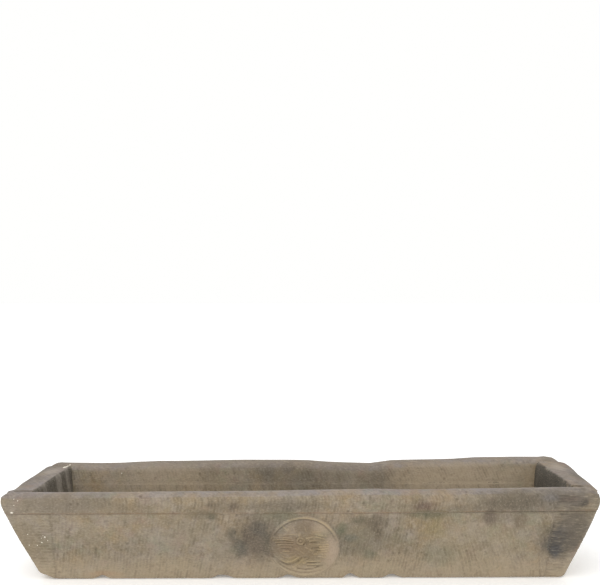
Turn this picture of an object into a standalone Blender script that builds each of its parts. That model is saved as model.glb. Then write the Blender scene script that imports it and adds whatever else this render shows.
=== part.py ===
"""A long stone trough planter, built up from dressed slabs.

The trough stands on z = 0 with its middle over the origin. Its length runs along X, its carved
front faces -Y, and +Z is up. Four leaning walls carry a coping whose rolled top is the rim. The
floor slab lies on a ledge inside the walls, and a round carved medallion is let into the front.
Iron pins and thin mortar joints hold the stones together.
"""

import math
from collections import namedtuple

import bmesh
import bpy
from mathutils import Matrix, Vector

# The trough as a whole
RIM_LENGTH = 1.515
RIM_DEPTH = 0.355
HEIGHT = 0.247  # to the highest point of the rim

# How far each outer face leans in, from the rim down to the foot
LONG_WALL_BATTER = 0.0775
LEFT_END_BATTER = 0.089
RIGHT_END_BATTER = 0.0815

# Width of the rim on each side, and how far the inner faces lean in over the same height
FRONT_RIM_WIDTH = 0.050
BACK_RIM_WIDTH = 0.066
END_RIM_WIDTH = 0.080
LONG_WALL_INNER_BATTER = 0.074
END_WALL_INNER_BATTER = 0.055

# Joints between the stones
COPING_HEIGHT = 0.059  # down from the highest point of the rim to the middle of the bed joint
JOINT = 0.0022
JOINT_RECESS = 0.001  # mortar is raked back this far from the faces
SEAT_GAP = 0.0003  # kept where one piece lies against another

# The floor slab and the ledge that carries it
LEDGE_HEIGHT = 0.022
LEDGE_WIDTH = 0.015
SEAT_EASE = 0.001  # the end walls' seats are cut this much deeper than the long walls' faces
FLOOR_THICKNESS = 0.035
FLOOR_ARRIS = 0.002
DRAIN_RADIUS = 0.015
DRAIN_PLACE_SHARES = (-0.62, 0.0, 0.62)  # of half the floor's length

# The worn rim: how deep its hollows are, and where, from one end of a stone to the other
RIM_WEAR = 0.017
FRONT_RIM_SHARES = (
    (-1.00, 0.92), (-0.90, 0.70), (-0.67, 0.68), (-0.40, 0.57), (-0.14, 0.52), (0.08, 0.34),
    (0.23, 0.20), (0.37, 0.39), (0.46, 0.28), (0.63, 0.21), (0.80, 0.10), (1.00, 0.08),
)
BACK_RIM_SHARES = (
    (-1.00, 0.74), (-0.80, 0.88), (-0.54, 0.56), (-0.20, 0.38), (-0.03, 0.44), (0.12, 0.80),
    (0.22, 1.00), (0.35, 0.45), (0.52, 0.36), (0.69, 0.04), (0.88, 0.00), (1.00, 0.06),
)
LEFT_RIM_SHARES = ((-1.0, 0.70), (0.1, 0.63), (1.0, 0.74))
RIGHT_RIM_SHARES = ((-1.0, 0.08), (-0.1, 0.13), (1.0, 0.06))
LONG_COPING_STATIONS = 22
END_COPING_STATIONS = 5

# Rounded and worn edges
LONG_OUTER_ROLL = 0.025  # rolled outer edge of the rim, along the trough
LEFT_OUTER_ROLL = 0.031
RIGHT_OUTER_ROLL = 0.054
FRONT_INNER_ROLL = 0.018  # rolled inner edge of the rim
BACK_INNER_ROLL = 0.020
END_INNER_ROLL = 0.006
ROLL_SEGMENTS = 4
LEFT_FRONT_CORNER = 0.011  # upright corners of the trough
RIGHT_FRONT_CORNER = 0.018
LEFT_BACK_CORNER = 0.016
RIGHT_BACK_CORNER = 0.034
FOOT_ARRIS = 0.004
BUTT_ARRIS = 0.001  # where the coping stones meet

# Pins
PIN_RADIUS = 0.006
COPING_PIN_LENGTH = 0.040
WALL_PIN_LENGTH = 0.050
MEDALLION_PIN_LENGTH = 0.022
PIN_HOLE_GAP = 0.0005  # grout space round a pin and past each end
LONG_COPING_PIN_SHARES = (-0.84, -0.28, 0.28, 0.84)  # of half the rim's length
END_COPING_PIN_SHARES = (0.0,)
WALL_PIN_HEIGHT_SHARES = (0.30, 0.72)  # of the seam's height

# The medallion, let into the front wall between a margin at the foot and one under the seam
MEDALLION_OFFSET = 0.0035  # of its middle from the trough's, towards the right
MEDALLION_FOOT_MARGIN = 0.0065
MEDALLION_TOP_MARGIN = 0.0105
MEDALLION_JOINT = 0.002
MEDALLION_THICKNESS = 0.022
MEDALLION_STEPS = 56
BEAD_WIDTH = 0.008
BEAD_HEIGHT = 0.0030
BEAD_LIP = 0.0015  # flat strip outside the bead
GROOVE_WIDTH = 0.004
GROOVE_DEPTH = 0.0025
FIELD_CROWN = 0.0020  # the carved field swells towards its middle
BEAD_POINTS = 6
FIELD_RINGS = 4

# Its worn relief, in shares of the field's radius: a ringed boss, two fluted leaves that spread
# from it and broad lobes below. A row is: place across, place up, length, width, turn in degrees
RELIEF_HEIGHT = 0.0028
BOSS_PLACE_SHARES = (-0.14, 0.23)
BOSS_RADIUS_SHARE = 0.125
BOSS_RING_SHARE = 0.030
FLUTE_SHARES = (
    (-0.50, 0.47, 0.40, 0.105, -8), (-0.57, 0.345, 0.60, 0.11, -4), (-0.59, 0.215, 0.64, 0.11, 0),
    (-0.57, 0.085, 0.60, 0.11, 4), (-0.50, -0.04, 0.46, 0.10, 9), (0.38, 0.62, 0.36, 0.10, 12),
    (0.43, 0.49, 0.50, 0.105, 8), (0.50, 0.36, 0.60, 0.11, 4), (0.53, 0.23, 0.66, 0.11, 0),
    (0.52, 0.10, 0.66, 0.11, -4), (0.46, -0.03, 0.54, 0.10, -8),
)
LOBE_SHARES = (
    (-0.45, -0.42, 0.66, 0.34, 16), (-0.02, -0.24, 0.34, 0.22, -70), (0.29, -0.32, 0.56, 0.24, -12),
    (0.27, -0.58, 0.58, 0.16, -3), (0.22, -0.75, 0.44, 0.12, 3), (-0.16, 0.60, 0.40, 0.20, 76),
)
RELIEF_SIDES = 12
RELIEF_RINGS = 8

# Dressed margins: an upright line is incised near each end of the front wall
MARGIN_FROM_END = 0.1305
LINE_DEPTH = 0.0016
LINE_FOOT = 0.013  # where the lines stop above the ground

# Damage at the foot of the front wall: a broken corner at each end, and chips between them
LEFT_BREAK_WIDTH = 0.041
LEFT_BREAK_RISE = 0.0235
LEFT_BREAK_DEPTH = 0.045
RIGHT_BREAK_WIDTH = 0.011
RIGHT_BREAK_RISE = 0.018
RIGHT_BREAK_DEPTH = 0.026
CHIP_WIDTH = 0.026
CHIP_RISE = 0.005
CHIP_DEPTH = 0.011
CHIP_SHARES = (  # place in shares of half the rim's length, and size against the largest chip
    (-0.679, 0.80), (-0.284, 0.75), (-0.051, 1.00), (0.153, 0.90), (0.297, 1.00),
)
CHIP_SIDES = 10
CHIP_RINGS = 7

PIN_SIDES = 12
DRAIN_SIDES = 24
OVERRUN = 0.020  # how far a cutter passes the stone that it cuts
UNIT_TOLERANCE = 0.000001  # in the unit block, before any size is given
MERGE_DISTANCE = 0.00001
SHARP_ANGLE = 35  # degrees; sharper edges stay sharp under smooth shading

STONE = ((0.296, 0.246, 0.184), 0.92, 0.0)
STONE_RIM = ((0.326, 0.287, 0.244), 0.90, 0.0)
STONE_FLOOR = ((0.180, 0.150, 0.112), 0.95, 0.0)
STONE_CARVED = ((0.330, 0.265, 0.180), 0.90, 0.0)
MORTAR = ((0.230, 0.200, 0.160), 0.96, 0.0)
IRON = ((0.110, 0.070, 0.045), 0.70, 0.6)

# A side of the trough: the way out, the way along, and its sizes at the rim
Side = namedtuple(
    "Side", "out along reach rim_width batter inner_batter outer_roll inner_roll rim_shares"
)
ACROSS = Vector((1, 0, 0))
BACKWARDS = Vector((0, 1, 0))
UPWARDS = Vector((0, 0, 1))
SIDES = {
    "front": Side(-BACKWARDS, ACROSS, RIM_DEPTH / 2, FRONT_RIM_WIDTH, LONG_WALL_BATTER,
                  LONG_WALL_INNER_BATTER, LONG_OUTER_ROLL, FRONT_INNER_ROLL, FRONT_RIM_SHARES),
    "back": Side(BACKWARDS, ACROSS, RIM_DEPTH / 2, BACK_RIM_WIDTH, LONG_WALL_BATTER,
                 LONG_WALL_INNER_BATTER, LONG_OUTER_ROLL, BACK_INNER_ROLL, BACK_RIM_SHARES),
    "left": Side(-ACROSS, BACKWARDS, RIM_LENGTH / 2, END_RIM_WIDTH, LEFT_END_BATTER,
                 END_WALL_INNER_BATTER, LEFT_OUTER_ROLL, END_INNER_ROLL, LEFT_RIM_SHARES),
    "right": Side(ACROSS, BACKWARDS, RIM_LENGTH / 2, END_RIM_WIDTH, RIGHT_END_BATTER,
                  END_WALL_INNER_BATTER, RIGHT_OUTER_ROLL, END_INNER_ROLL, RIGHT_RIM_SHARES),
}
LONG_SIDES = ("front", "back")
END_SIDES = ("left", "right")
CORNERS = {
    ("left", "front"): LEFT_FRONT_CORNER, ("left", "back"): LEFT_BACK_CORNER,
    ("right", "front"): RIGHT_FRONT_CORNER, ("right", "back"): RIGHT_BACK_CORNER,
}

SEAM_HEIGHT = HEIGHT - COPING_HEIGHT
WALL_TOP = SEAM_HEIGHT - JOINT / 2
COPING_FOOT = SEAM_HEIGHT + JOINT / 2
FLOOR_FOOT = LEDGE_HEIGHT + JOINT
FLOOR_TOP = FLOOR_FOOT + FLOOR_THICKNESS


def outer(name, z):
    """Distance of a side's outer face from the middle, at height z."""
    side = SIDES[name]
    return side.reach - side.batter * (HEIGHT - z) / HEIGHT


def inner(name, z):
    """Distance of a side's inner face from the middle, at height z."""
    side = SIDES[name]
    return side.reach - side.rim_width - side.inner_batter * (HEIGHT - z) / HEIGHT


def ledge_face(name):
    """Distance of the ledge's upright face from the middle."""
    return inner(name, LEDGE_HEIGHT) - LEDGE_WIDTH


def mix(first, last, share):
    return first + (last - first) * share


def eased(table, place):
    """The table's value at a place, with an easy curve from each station to the next."""
    for (low, before), (high, after) in zip(table, table[1:]):
        if place <= high:
            share = max(0.0, (place - low) / (high - low))
            return mix(before, after, share * share * (3 - 2 * share))
    return table[-1][1]


def rim_height(name, share):
    """Height of a side's rim, at a share from 0 to 1 along it."""
    return HEIGHT - RIM_WEAR * eased(SIDES[name].rim_shares, 2 * share - 1)


def new_collection(name):
    collection = bpy.data.collections.new(name)
    bpy.context.scene.collection.children.link(collection)
    return collection


def material(name, finish):
    """A Principled material from a colour, a roughness and a metallic value."""
    colour, roughness, metallic = finish
    made = bpy.data.materials.new(name)
    made.use_nodes = True
    shader = made.node_tree.nodes["Principled BSDF"]
    shader.inputs["Base Color"].default_value = (*colour, 1)
    shader.inputs["Roughness"].default_value = roughness
    shader.inputs["Metallic"].default_value = metallic
    made.diffuse_color = (*colour, 1)
    return made


def object_from(bm, name):
    """Closes the bmesh into a new object whose faces point outwards."""
    bmesh.ops.recalc_face_normals(bm, faces=bm.faces)
    mesh = bpy.data.meshes.new(name)
    bm.to_mesh(mesh)
    bm.free()
    return bpy.data.objects.new(name, mesh)


def part(obj, finish):
    """Makes the object one of the trough's pieces, with a material of its own."""
    obj.data.materials.append(material(obj.name + "_finish", finish))
    PARTS.objects.link(obj)
    return obj


def cutter(obj):
    """Makes the object a helper that is not part of the trough."""
    obj.hide_render = True
    obj.display_type = "WIRE"
    CUTTERS.objects.link(obj)
    return obj


def boolean(obj, other, operation="DIFFERENCE"):
    modifier = obj.modifiers.new(other.name, "BOOLEAN")
    modifier.operation = operation
    modifier.solver = "EXACT"
    modifier.object = other


def shade_smooth(obj):
    obj.data.shade_smooth()
    obj.data.set_sharp_from_angle(angle=math.radians(SHARP_ANGLE))


# The six faces of the unit block: the axis that they face along, and their place on it
BLOCK_FACES = {
    "start": (0, 0), "end": (0, 1), "outer": (1, 0), "inner": (1, 1), "low": (2, 0), "top": (2, 1),
}


def on_face(vert, face):
    axis, place = BLOCK_FACES[face]
    return abs(vert.co[axis] - place) < UNIT_TOLERANCE


def weigh_edges(bm, rounds, end_rounds):
    """Writes each edge's rounding into its bevel weight. Returns the largest rounding.

    rounds gives a size to the edge between two faces. end_rounds gives another one to its
    first and last stretch.
    """
    largest = max(rounds.values(), default=0)
    if not largest:
        return largest
    weights = bm.edges.layers.float.new("bevel_weight_edge")
    for edge in bm.edges:
        for faces, size in rounds.items():
            if not all(on_face(vert, face) for vert in edge.verts for face in faces):
                continue
            at_end = any(on_face(vert, end) for vert in edge.verts for end in ("start", "end"))
            if at_end and faces in end_rounds:
                size = end_rounds[faces]
            edge[weights] = size / largest
    return largest


def shaped_block(name, place, stations=(), levels=(), rounds=None, end_rounds=None):
    """A unit block whose points are moved by place(u, v, w), then rounded at its edges.

    u runs along the stone, v from its outer face to its inner one, and w upwards. The block is
    first cut at stations along u and at levels up w.
    """
    bm = bmesh.new()
    bmesh.ops.create_cube(bm, size=1, matrix=Matrix.Translation((0.5, 0.5, 0.5)))
    cuts = [(ACROSS, share) for share in stations] + [(UPWARDS, share) for share in levels]
    for way, share in cuts:
        geometry = bm.verts[:] + bm.edges[:] + bm.faces[:]
        bmesh.ops.bisect_plane(bm, geom=geometry, plane_co=way * share, plane_no=way)
    largest = weigh_edges(bm, rounds or {}, end_rounds or {})
    for vert in bm.verts:
        vert.co = place(*vert.co)
    obj = object_from(bm, name)
    if largest:
        bevel = obj.modifiers.new("worn edges", "BEVEL")
        bevel.limit_method = "WEIGHT"
        bevel.width = largest
        bevel.segments = ROLL_SEGMENTS
        shade_smooth(obj)
    return obj


def side_point(name, along, out, z):
    side = SIDES[name]
    point = side.along * along + side.out * out
    point.z = z
    return point


def ends_of(name, z, joint):
    """Where a stone of this side starts and ends along its run, at height z."""
    if name in LONG_SIDES:
        return -outer("left", z), outer("right", z)
    return -inner("front", z) + joint, inner("back", z) - joint


def stone_place(name, foot, top, inner_face, joint=JOINT):
    """The place function of a stone that stands on foot, up to top(u) along its run."""

    def place(u, v, w):
        z = mix(foot, top(u), w)
        start, end = ends_of(name, z, joint)
        return side_point(name, mix(start, end, u), mix(outer(name, z), inner_face(name, z), v), z)

    return place


def wall_place(name):
    """The place function of a wall stone, whose foot is pared back to an arris outside."""
    place = stone_place(name, 0, lambda u: WALL_TOP, lambda side, z: ledge_face(side))

    def pared(u, v, w):
        point = place(u, v, w)
        if w < UNIT_TOLERANCE:
            point -= SIDES[name].out * FOOT_ARRIS * (1 - v)
            if name in LONG_SIDES:
                point += ACROSS * FOOT_ARRIS * (1 - 2 * u)
        return point

    return pared


def tapered_place(foot, top, reach):
    """The place function of a block that fills the trough's plan out to reach(side, z)."""

    def place(u, v, w):
        z = mix(foot, top, w)
        x = mix(-reach("left", z), reach("right", z), u)
        y = mix(-reach("front", z), reach("back", z), v)
        return Vector((x, y, z))

    return place


def tapered_block(name, foot, top, reach, **finish):
    return shaped_block(name, tapered_place(foot, top, reach), **finish)


def cylinders(name, radius, low, high, sides, matrices):
    """Cylinders along their own Z from low to high, one for each matrix, in one mesh."""
    bm = bmesh.new()
    middle = Matrix.Translation((0, 0, (low + high) / 2))
    for matrix in matrices:
        bmesh.ops.create_cone(
            bm, cap_ends=True, segments=sides, radius1=radius, radius2=radius,
            depth=high - low, matrix=matrix @ middle,
        )
    obj = object_from(bm, name)
    shade_smooth(obj)
    return obj


def ellipsoid(bm, size, matrix, sides, rings):
    """Adds a ball stretched to half-axes of the given size."""
    bmesh.ops.create_uvsphere(
        bm, u_segments=sides, v_segments=rings, radius=1, matrix=matrix @ Matrix.Diagonal((*size, 1))
    )


# The face of the front wall, for what is set into it or carved on it
FRONT_UP = Vector((0, -LONG_WALL_BATTER / HEIGHT, 1)).normalized()
FRONT_OUT = ACROSS.cross(FRONT_UP)


def front_frame(x, z):
    """A frame on the front wall's face: X across, Y up the slope, Z straight out."""
    rotation = Matrix((ACROSS, FRONT_UP, FRONT_OUT)).transposed().to_4x4()
    return Matrix.Translation((x, -outer("front", z), z)) @ rotation


SLOPE_LENGTH = WALL_TOP / FRONT_UP.z
RECESS_RADIUS = (SLOPE_LENGTH - MEDALLION_FOOT_MARGIN - MEDALLION_TOP_MARGIN) / 2
MEDALLION_RADIUS = RECESS_RADIUS - MEDALLION_JOINT
MEDALLION_HEIGHT = (MEDALLION_FOOT_MARGIN + RECESS_RADIUS) * FRONT_UP.z
MEDALLION_FRAME = front_frame(MEDALLION_OFFSET, MEDALLION_HEIGHT)
FIELD_RADIUS = MEDALLION_RADIUS - BEAD_LIP - BEAD_WIDTH - GROOVE_WIDTH
RECESS_DEPTH = MEDALLION_THICKNESS + MEDALLION_JOINT


def coping_pin_places():
    """Upright pins across the bed joint, in the middle of the stones' thickness, by name."""
    places = {}
    for name in SIDES:
        shares = LONG_COPING_PIN_SHARES if name in LONG_SIDES else END_COPING_PIN_SHARES
        out = (outer(name, SEAM_HEIGHT) + inner(name, SEAM_HEIGHT)) / 2
        for number, share in enumerate(shares, 1):
            point = side_point(name, share * RIM_LENGTH / 2, out, SEAM_HEIGHT)
            places[f"coping_pin_{name}_{number}"] = Matrix.Translation(point)
    return places


def wall_pin_places():
    """Level pins across the joints at the corners, in the end walls' thickness, by name."""
    quarter_turn = Matrix.Rotation(math.radians(90), 4, "X")
    places = {}
    for end, long_side in CORNERS:
        for number, share in enumerate(WALL_PIN_HEIGHT_SHARES, 1):
            z = share * SEAM_HEIGHT
            out = (outer(end, z) + inner(end, z)) / 2
            along = SIDES[long_side].out.y * (inner(long_side, z) - JOINT / 2)
            point = side_point(end, along, out, z)
            places[f"wall_pin_{end}_{long_side}_{number}"] = Matrix.Translation(point) @ quarter_turn
    return places


def pins_and_holes(name, length, places):
    """Makes an iron pin at each place. Returns the cutter for their holes."""
    half = length / 2
    for pin_name, matrix in places.items():
        pin = cylinders(pin_name, PIN_RADIUS, -half, half, PIN_SIDES, [Matrix()])
        pin.matrix_world = matrix
        part(pin, IRON)
    reach = half + PIN_HOLE_GAP
    radius = PIN_RADIUS + PIN_HOLE_GAP
    return cutter(cylinders(name, radius, -reach, reach, PIN_SIDES, places.values()))


def rebate_cutters():
    """The hollow above the ledge, for the end walls and, run past both ends, for the long walls."""
    top = HEIGHT + OVERRUN
    hollow = cutter(tapered_block("hollow", LEDGE_HEIGHT, top, inner))

    def long_reach(name, z):
        return inner(name, z) if name in LONG_SIDES else RIM_LENGTH / 2 + OVERRUN

    return hollow, cutter(tapered_block("long_hollow", LEDGE_HEIGHT, top, long_reach))


def end_wall_seat_cutter(name):
    """The seat of an end wall, where the long walls' ledge is cut away down to the ground."""
    out = SIDES[name].out.x

    def place(u, v, w):
        z = mix(-OVERRUN, LEDGE_HEIGHT + JOINT, w)
        x = out * mix(ledge_face(name) - JOINT, RIM_LENGTH / 2 + OVERRUN, u)
        front = -inner("front", z) - SEAT_EASE
        return Vector((x, mix(front, inner("back", z) + SEAT_EASE, v), z))

    return cutter(shaped_block(name + "_wall_seat", place))


def long_wall(name):
    rounds = {
        ("outer", "start"): CORNERS["left", name], ("outer", "end"): CORNERS["right", name],
    }
    levels = [FOOT_ARRIS / WALL_TOP]
    wall = shaped_block(name + "_wall", wall_place(name), levels=levels, rounds=rounds)
    for shape in (LONG_HOLLOW, *END_SEATS, COPING_PIN_HOLES, WALL_PIN_HOLES):
        boolean(wall, shape)
    return wall


def end_wall(name):
    wall = shaped_block(name + "_end_wall", wall_place(name), levels=[FOOT_ARRIS / WALL_TOP])
    for shape in (HOLLOW, COPING_PIN_HOLES, WALL_PIN_HOLES):
        boolean(wall, shape)
    return wall


def long_coping(name):
    """The rolled edges run out where the end copings meet the inner face."""
    shoulder = END_RIM_WIDTH / RIM_LENGTH
    stations = [
        mix(shoulder, 1 - shoulder, step / LONG_COPING_STATIONS)
        for step in range(LONG_COPING_STATIONS + 1)
    ]
    rounds = {
        ("outer", "top"): SIDES[name].outer_roll, ("inner", "top"): SIDES[name].inner_roll,
        ("start", "top"): LEFT_OUTER_ROLL, ("end", "top"): RIGHT_OUTER_ROLL,
        ("outer", "start"): CORNERS["left", name], ("outer", "end"): CORNERS["right", name],
        ("inner", "start"): BUTT_ARRIS, ("inner", "end"): BUTT_ARRIS,
    }
    place = stone_place(name, COPING_FOOT, lambda u: rim_height(name, u), inner)
    coping = shaped_block(
        name + "_coping", place, stations, rounds=rounds,
        end_rounds={("inner", "top"): BUTT_ARRIS},
    )
    boolean(coping, COPING_PIN_HOLES)
    return coping


def end_coping(name):
    stations = [step / END_COPING_STATIONS for step in range(1, END_COPING_STATIONS)]
    rounds = {
        ("outer", "top"): SIDES[name].outer_roll, ("inner", "top"): SIDES[name].inner_roll,
        ("start", "top"): BUTT_ARRIS, ("end", "top"): BUTT_ARRIS,
    }
    place = stone_place(name, COPING_FOOT, lambda u: rim_height(name, u), inner)
    coping = shaped_block(name + "_end_coping", place, stations, rounds=rounds)
    boolean(coping, COPING_PIN_HOLES)
    return coping


def incised_lines():
    """V-shaped tools that score the front wall near its ends, from the seam down."""
    bm = bmesh.new()
    half = LINE_DEPTH * math.sqrt(2) / 2
    top = WALL_TOP + OVERRUN
    turn = Matrix.Rotation(math.radians(45), 4, "Y")
    size = Matrix.Diagonal((half, (top - LINE_FOOT) / 2 / FRONT_UP.z, half, 1))
    for side in (-1, 1):
        frame = front_frame(side * (RIM_LENGTH / 2 - MARGIN_FROM_END), (top + LINE_FOOT) / 2)
        bmesh.ops.create_cube(bm, size=2, matrix=frame @ turn @ size)
    return cutter(object_from(bm, "incised_lines"))


def broken_corner(name, width, rise, depth):
    """A flat break across the front lower corner at one end: along the wall, up, and back."""
    out = SIDES[name].out.x
    foot = Vector((out * outer(name, 0), -outer("front", 0), 0))
    along = foot - ACROSS * out * width
    back = foot + BACKWARDS * depth
    up = Vector((out * outer(name, rise), -outer("front", rise), rise))
    facing = (back - along).cross(up - along).normalized()
    if facing.dot(foot - along) < 0:
        facing = -facing
    reach = width + rise + depth + OVERRUN
    turn = facing.to_track_quat("Z", "Y").to_matrix().to_4x4()
    bm = bmesh.new()
    middle = (along + back + up) / 3 + facing * reach / 2
    bmesh.ops.create_cube(bm, size=reach, matrix=Matrix.Translation(middle) @ turn)
    return cutter(object_from(bm, name + "_broken_corner"))


def foot_chips():
    """Small scoops where the foot's front edge has spalled."""
    bm = bmesh.new()
    for place, size in CHIP_SHARES:
        where = Matrix.Translation((place * RIM_LENGTH / 2, FOOT_ARRIS / 2 - outer("front", 0), 0))
        half_axes = (size * CHIP_WIDTH / 2, size * CHIP_DEPTH, size * CHIP_RISE)
        ellipsoid(bm, half_axes, where, CHIP_SIDES, CHIP_RINGS)
    return cutter(object_from(bm, "foot_chips"))


def medallion_recess():
    """The round recess, with a hole for the pin behind it."""
    return cutter(
        cylinders("medallion_recess", RECESS_RADIUS, -RECESS_DEPTH, OVERRUN, MEDALLION_STEPS,
                  [MEDALLION_FRAME])
    )


def front_wall():
    wall = long_wall("front")
    for shape in (
        medallion_recess(), MEDALLION_PIN_HOLE, incised_lines(), foot_chips(),
        broken_corner("left", LEFT_BREAK_WIDTH, LEFT_BREAK_RISE, LEFT_BREAK_DEPTH),
        broken_corner("right", RIGHT_BREAK_WIDTH, RIGHT_BREAK_RISE, RIGHT_BREAK_DEPTH),
    ):
        boolean(wall, shape)
    return wall


def drain_matrices():
    half_length = (inner("left", FLOOR_TOP) + inner("right", FLOOR_TOP)) / 2
    middle = (inner("back", FLOOR_TOP) - inner("front", FLOOR_TOP)) / 2
    for share in DRAIN_PLACE_SHARES:
        yield Matrix.Translation((share * half_length, middle, 0))


def floor_slab():
    """The slab rests on the ledge, a joint's width clear of the walls, and is drilled for water."""

    def reach(name, z):
        return inner(name, z) - JOINT

    arrises = {(side, "top"): FLOOR_ARRIS for side in ("start", "end", "outer", "inner")}
    slab = tapered_block("floor_slab", FLOOR_FOOT, FLOOR_TOP, reach, rounds=arrises)
    drains = cylinders(
        "drain_holes", DRAIN_RADIUS, FLOOR_FOOT - OVERRUN, FLOOR_TOP + OVERRUN, DRAIN_SIDES,
        drain_matrices(),
    )
    boolean(slab, cutter(drains))
    return slab


def turned(name, profile, steps):
    """A profile, given as points (radius, height), turned about its own Z axis."""
    bm = bmesh.new()
    verts = [bm.verts.new((radius, 0, height)) for radius, height in profile]
    for first, second in zip(verts, verts[1:]):
        bm.edges.new((first, second))
    mesh = bpy.data.meshes.new(name)
    bm.to_mesh(mesh)
    bm.free()
    obj = bpy.data.objects.new(name, mesh)
    screw = obj.modifiers.new("turning", "SCREW")
    screw.steps = steps
    screw.render_steps = steps
    screw.use_merge_vertices = True
    screw.merge_threshold = MERGE_DISTANCE
    screw.use_smooth_shade = True
    return obj


def medallion_profile():
    """From the middle of the crowned field, over the groove and the bead, down to the back."""
    points = []
    for ring in range(FIELD_RINGS + 1):
        share = ring / FIELD_RINGS
        points.append((FIELD_RADIUS * share, FIELD_CROWN * (1 - share * share)))
    points.append((FIELD_RADIUS + GROOVE_WIDTH / 2, -GROOVE_DEPTH))
    bead_middle = MEDALLION_RADIUS - BEAD_LIP - BEAD_WIDTH / 2
    for step in range(BEAD_POINTS + 1):
        angle = math.pi * (1 - step / BEAD_POINTS)
        points.append(
            (bead_middle + BEAD_WIDTH / 2 * math.cos(angle), BEAD_HEIGHT * math.sin(angle))
        )
    points.append((MEDALLION_RADIUS, 0))
    points.append((MEDALLION_RADIUS, -MEDALLION_THICKNESS))
    points.append((0, -MEDALLION_THICKNESS))
    return points


def relief():
    """The boss, flutes and lobes, each as a solid that stands out of the field."""
    bodies = bpy.data.collections.new("relief")
    CUTTERS.children.link(bodies)
    rows = [(row, RELIEF_HEIGHT) for row in LOBE_SHARES + FLUTE_SHARES]
    boss = (*BOSS_PLACE_SHARES, BOSS_RADIUS_SHARE, BOSS_RADIUS_SHARE, 0)
    rows.append((boss, RELIEF_HEIGHT + FIELD_CROWN))
    for number, ((across, up, length, width, turn), height) in enumerate(rows):
        bm = bmesh.new()
        where = Matrix.Translation((across * FIELD_RADIUS, up * FIELD_RADIUS, 0))
        half_axes = (length * FIELD_RADIUS / 2, width * FIELD_RADIUS / 2, height + FIELD_CROWN)
        matrix = where @ Matrix.Rotation(math.radians(turn), 4, "Z")
        ellipsoid(bm, half_axes, matrix, RELIEF_SIDES, RELIEF_RINGS)
        add_relief(bodies, object_from(bm, f"relief_{number}"))
    add_relief(bodies, boss_ring())
    return bodies


def boss_ring():
    """The ring round the boss, turned from a small round section."""
    section = BOSS_RING_SHARE * FIELD_RADIUS
    points = []
    for step in range(RELIEF_RINGS + 1):
        angle = math.tau * step / RELIEF_RINGS
        points.append(
            (BOSS_RADIUS_SHARE * FIELD_RADIUS + section * math.cos(angle),
             FIELD_CROWN - section * math.sin(angle))
        )
    ring = turned("relief_boss_ring", points, RELIEF_SIDES * 2)
    across, up = BOSS_PLACE_SHARES
    ring.matrix_world = Matrix.Translation((across * FIELD_RADIUS, up * FIELD_RADIUS, 0))
    return ring


def add_relief(bodies, obj):
    obj.matrix_world = MEDALLION_FRAME @ obj.matrix_world
    obj.hide_render = True
    obj.display_type = "WIRE"
    bodies.objects.link(obj)


def medallion():
    disc = turned("medallion", medallion_profile(), MEDALLION_STEPS)
    disc.matrix_world = MEDALLION_FRAME
    modifier = disc.modifiers.new("relief", "BOOLEAN")
    modifier.operation = "UNION"
    modifier.solver = "EXACT"
    modifier.operand_type = "COLLECTION"
    modifier.collection = relief()
    boolean(disc, MEDALLION_PIN_HOLE)
    return disc


def medallion_mortar():
    """A thin cup of mortar behind and round the medallion."""
    outside = RECESS_RADIUS - SEAT_GAP
    back = -RECESS_DEPTH + SEAT_GAP
    frames = [MEDALLION_FRAME]
    cup = cylinders("medallion_mortar", outside, back, -JOINT_RECESS, MEDALLION_STEPS, frames)
    inside = MEDALLION_RADIUS + SEAT_GAP
    floor = -MEDALLION_THICKNESS - SEAT_GAP
    core = cylinders("medallion_space", inside, floor, OVERRUN, MEDALLION_STEPS, frames)
    boolean(cup, cutter(core))
    boolean(cup, MEDALLION_PIN_HOLE)
    return cup


def medallion_pin():
    """One pin behind the medallion. Returns the cutter for its hole."""
    where = MEDALLION_FRAME @ Matrix.Translation((0, 0, MEDALLION_JOINT / 2 - RECESS_DEPTH))
    return pins_and_holes("medallion_pin_hole", MEDALLION_PIN_LENGTH, {"medallion_pin": where})


def coping_bed_mortar():
    """The bed between the walls and the coping, raked back inside and out."""
    low = WALL_TOP + SEAT_GAP
    high = COPING_FOOT - SEAT_GAP
    faces = {"left": "start", "right": "end", "front": "outer", "back": "inner"}
    rounds = {(faces[end], faces[side]): radius for (end, side), radius in CORNERS.items()}
    bed = tapered_block(
        "coping_bed_mortar", low, high, lambda side, z: outer(side, z) - JOINT_RECESS, rounds=rounds
    )
    space = tapered_block(
        "coping_bed_space", low - OVERRUN, high + OVERRUN, lambda side, z: inner(side, z) + JOINT_RECESS
    )
    boolean(bed, cutter(space))
    boolean(bed, COPING_PIN_HOLES)
    return bed


def floor_bed_mortar():
    """The bed under the floor slab's edge, and the joint up its sides."""
    bed = tapered_block(
        "floor_bed_mortar", LEDGE_HEIGHT + SEAT_GAP, FLOOR_TOP - JOINT_RECESS,
        lambda side, z: inner(side, z) - SEAT_GAP,
    )
    slab_space = tapered_block(
        "floor_slab_space", FLOOR_FOOT - SEAT_GAP, FLOOR_TOP + OVERRUN,
        lambda side, z: inner(side, z) - JOINT + SEAT_GAP,
    )
    under = tapered_block(
        "floor_under_space", -OVERRUN, FLOOR_TOP, lambda side, z: ledge_face(side) + JOINT_RECESS
    )
    boolean(bed, cutter(slab_space))
    boolean(bed, cutter(under))
    return bed


def joint_plate_place(end, long_side, foot, top, inner_face):
    """The place function of the thin mortar plate in an upright joint at a corner."""
    way = SIDES[long_side].out.y

    def place(u, v, w):
        z = mix(foot, top, w)
        along = way * (inner(long_side, z) - mix(SEAT_GAP, JOINT - SEAT_GAP, u))
        out = mix(outer(end, z) - JOINT_RECESS, inner_face(end, z), v)
        return side_point(end, along, out, z)

    return place


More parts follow.
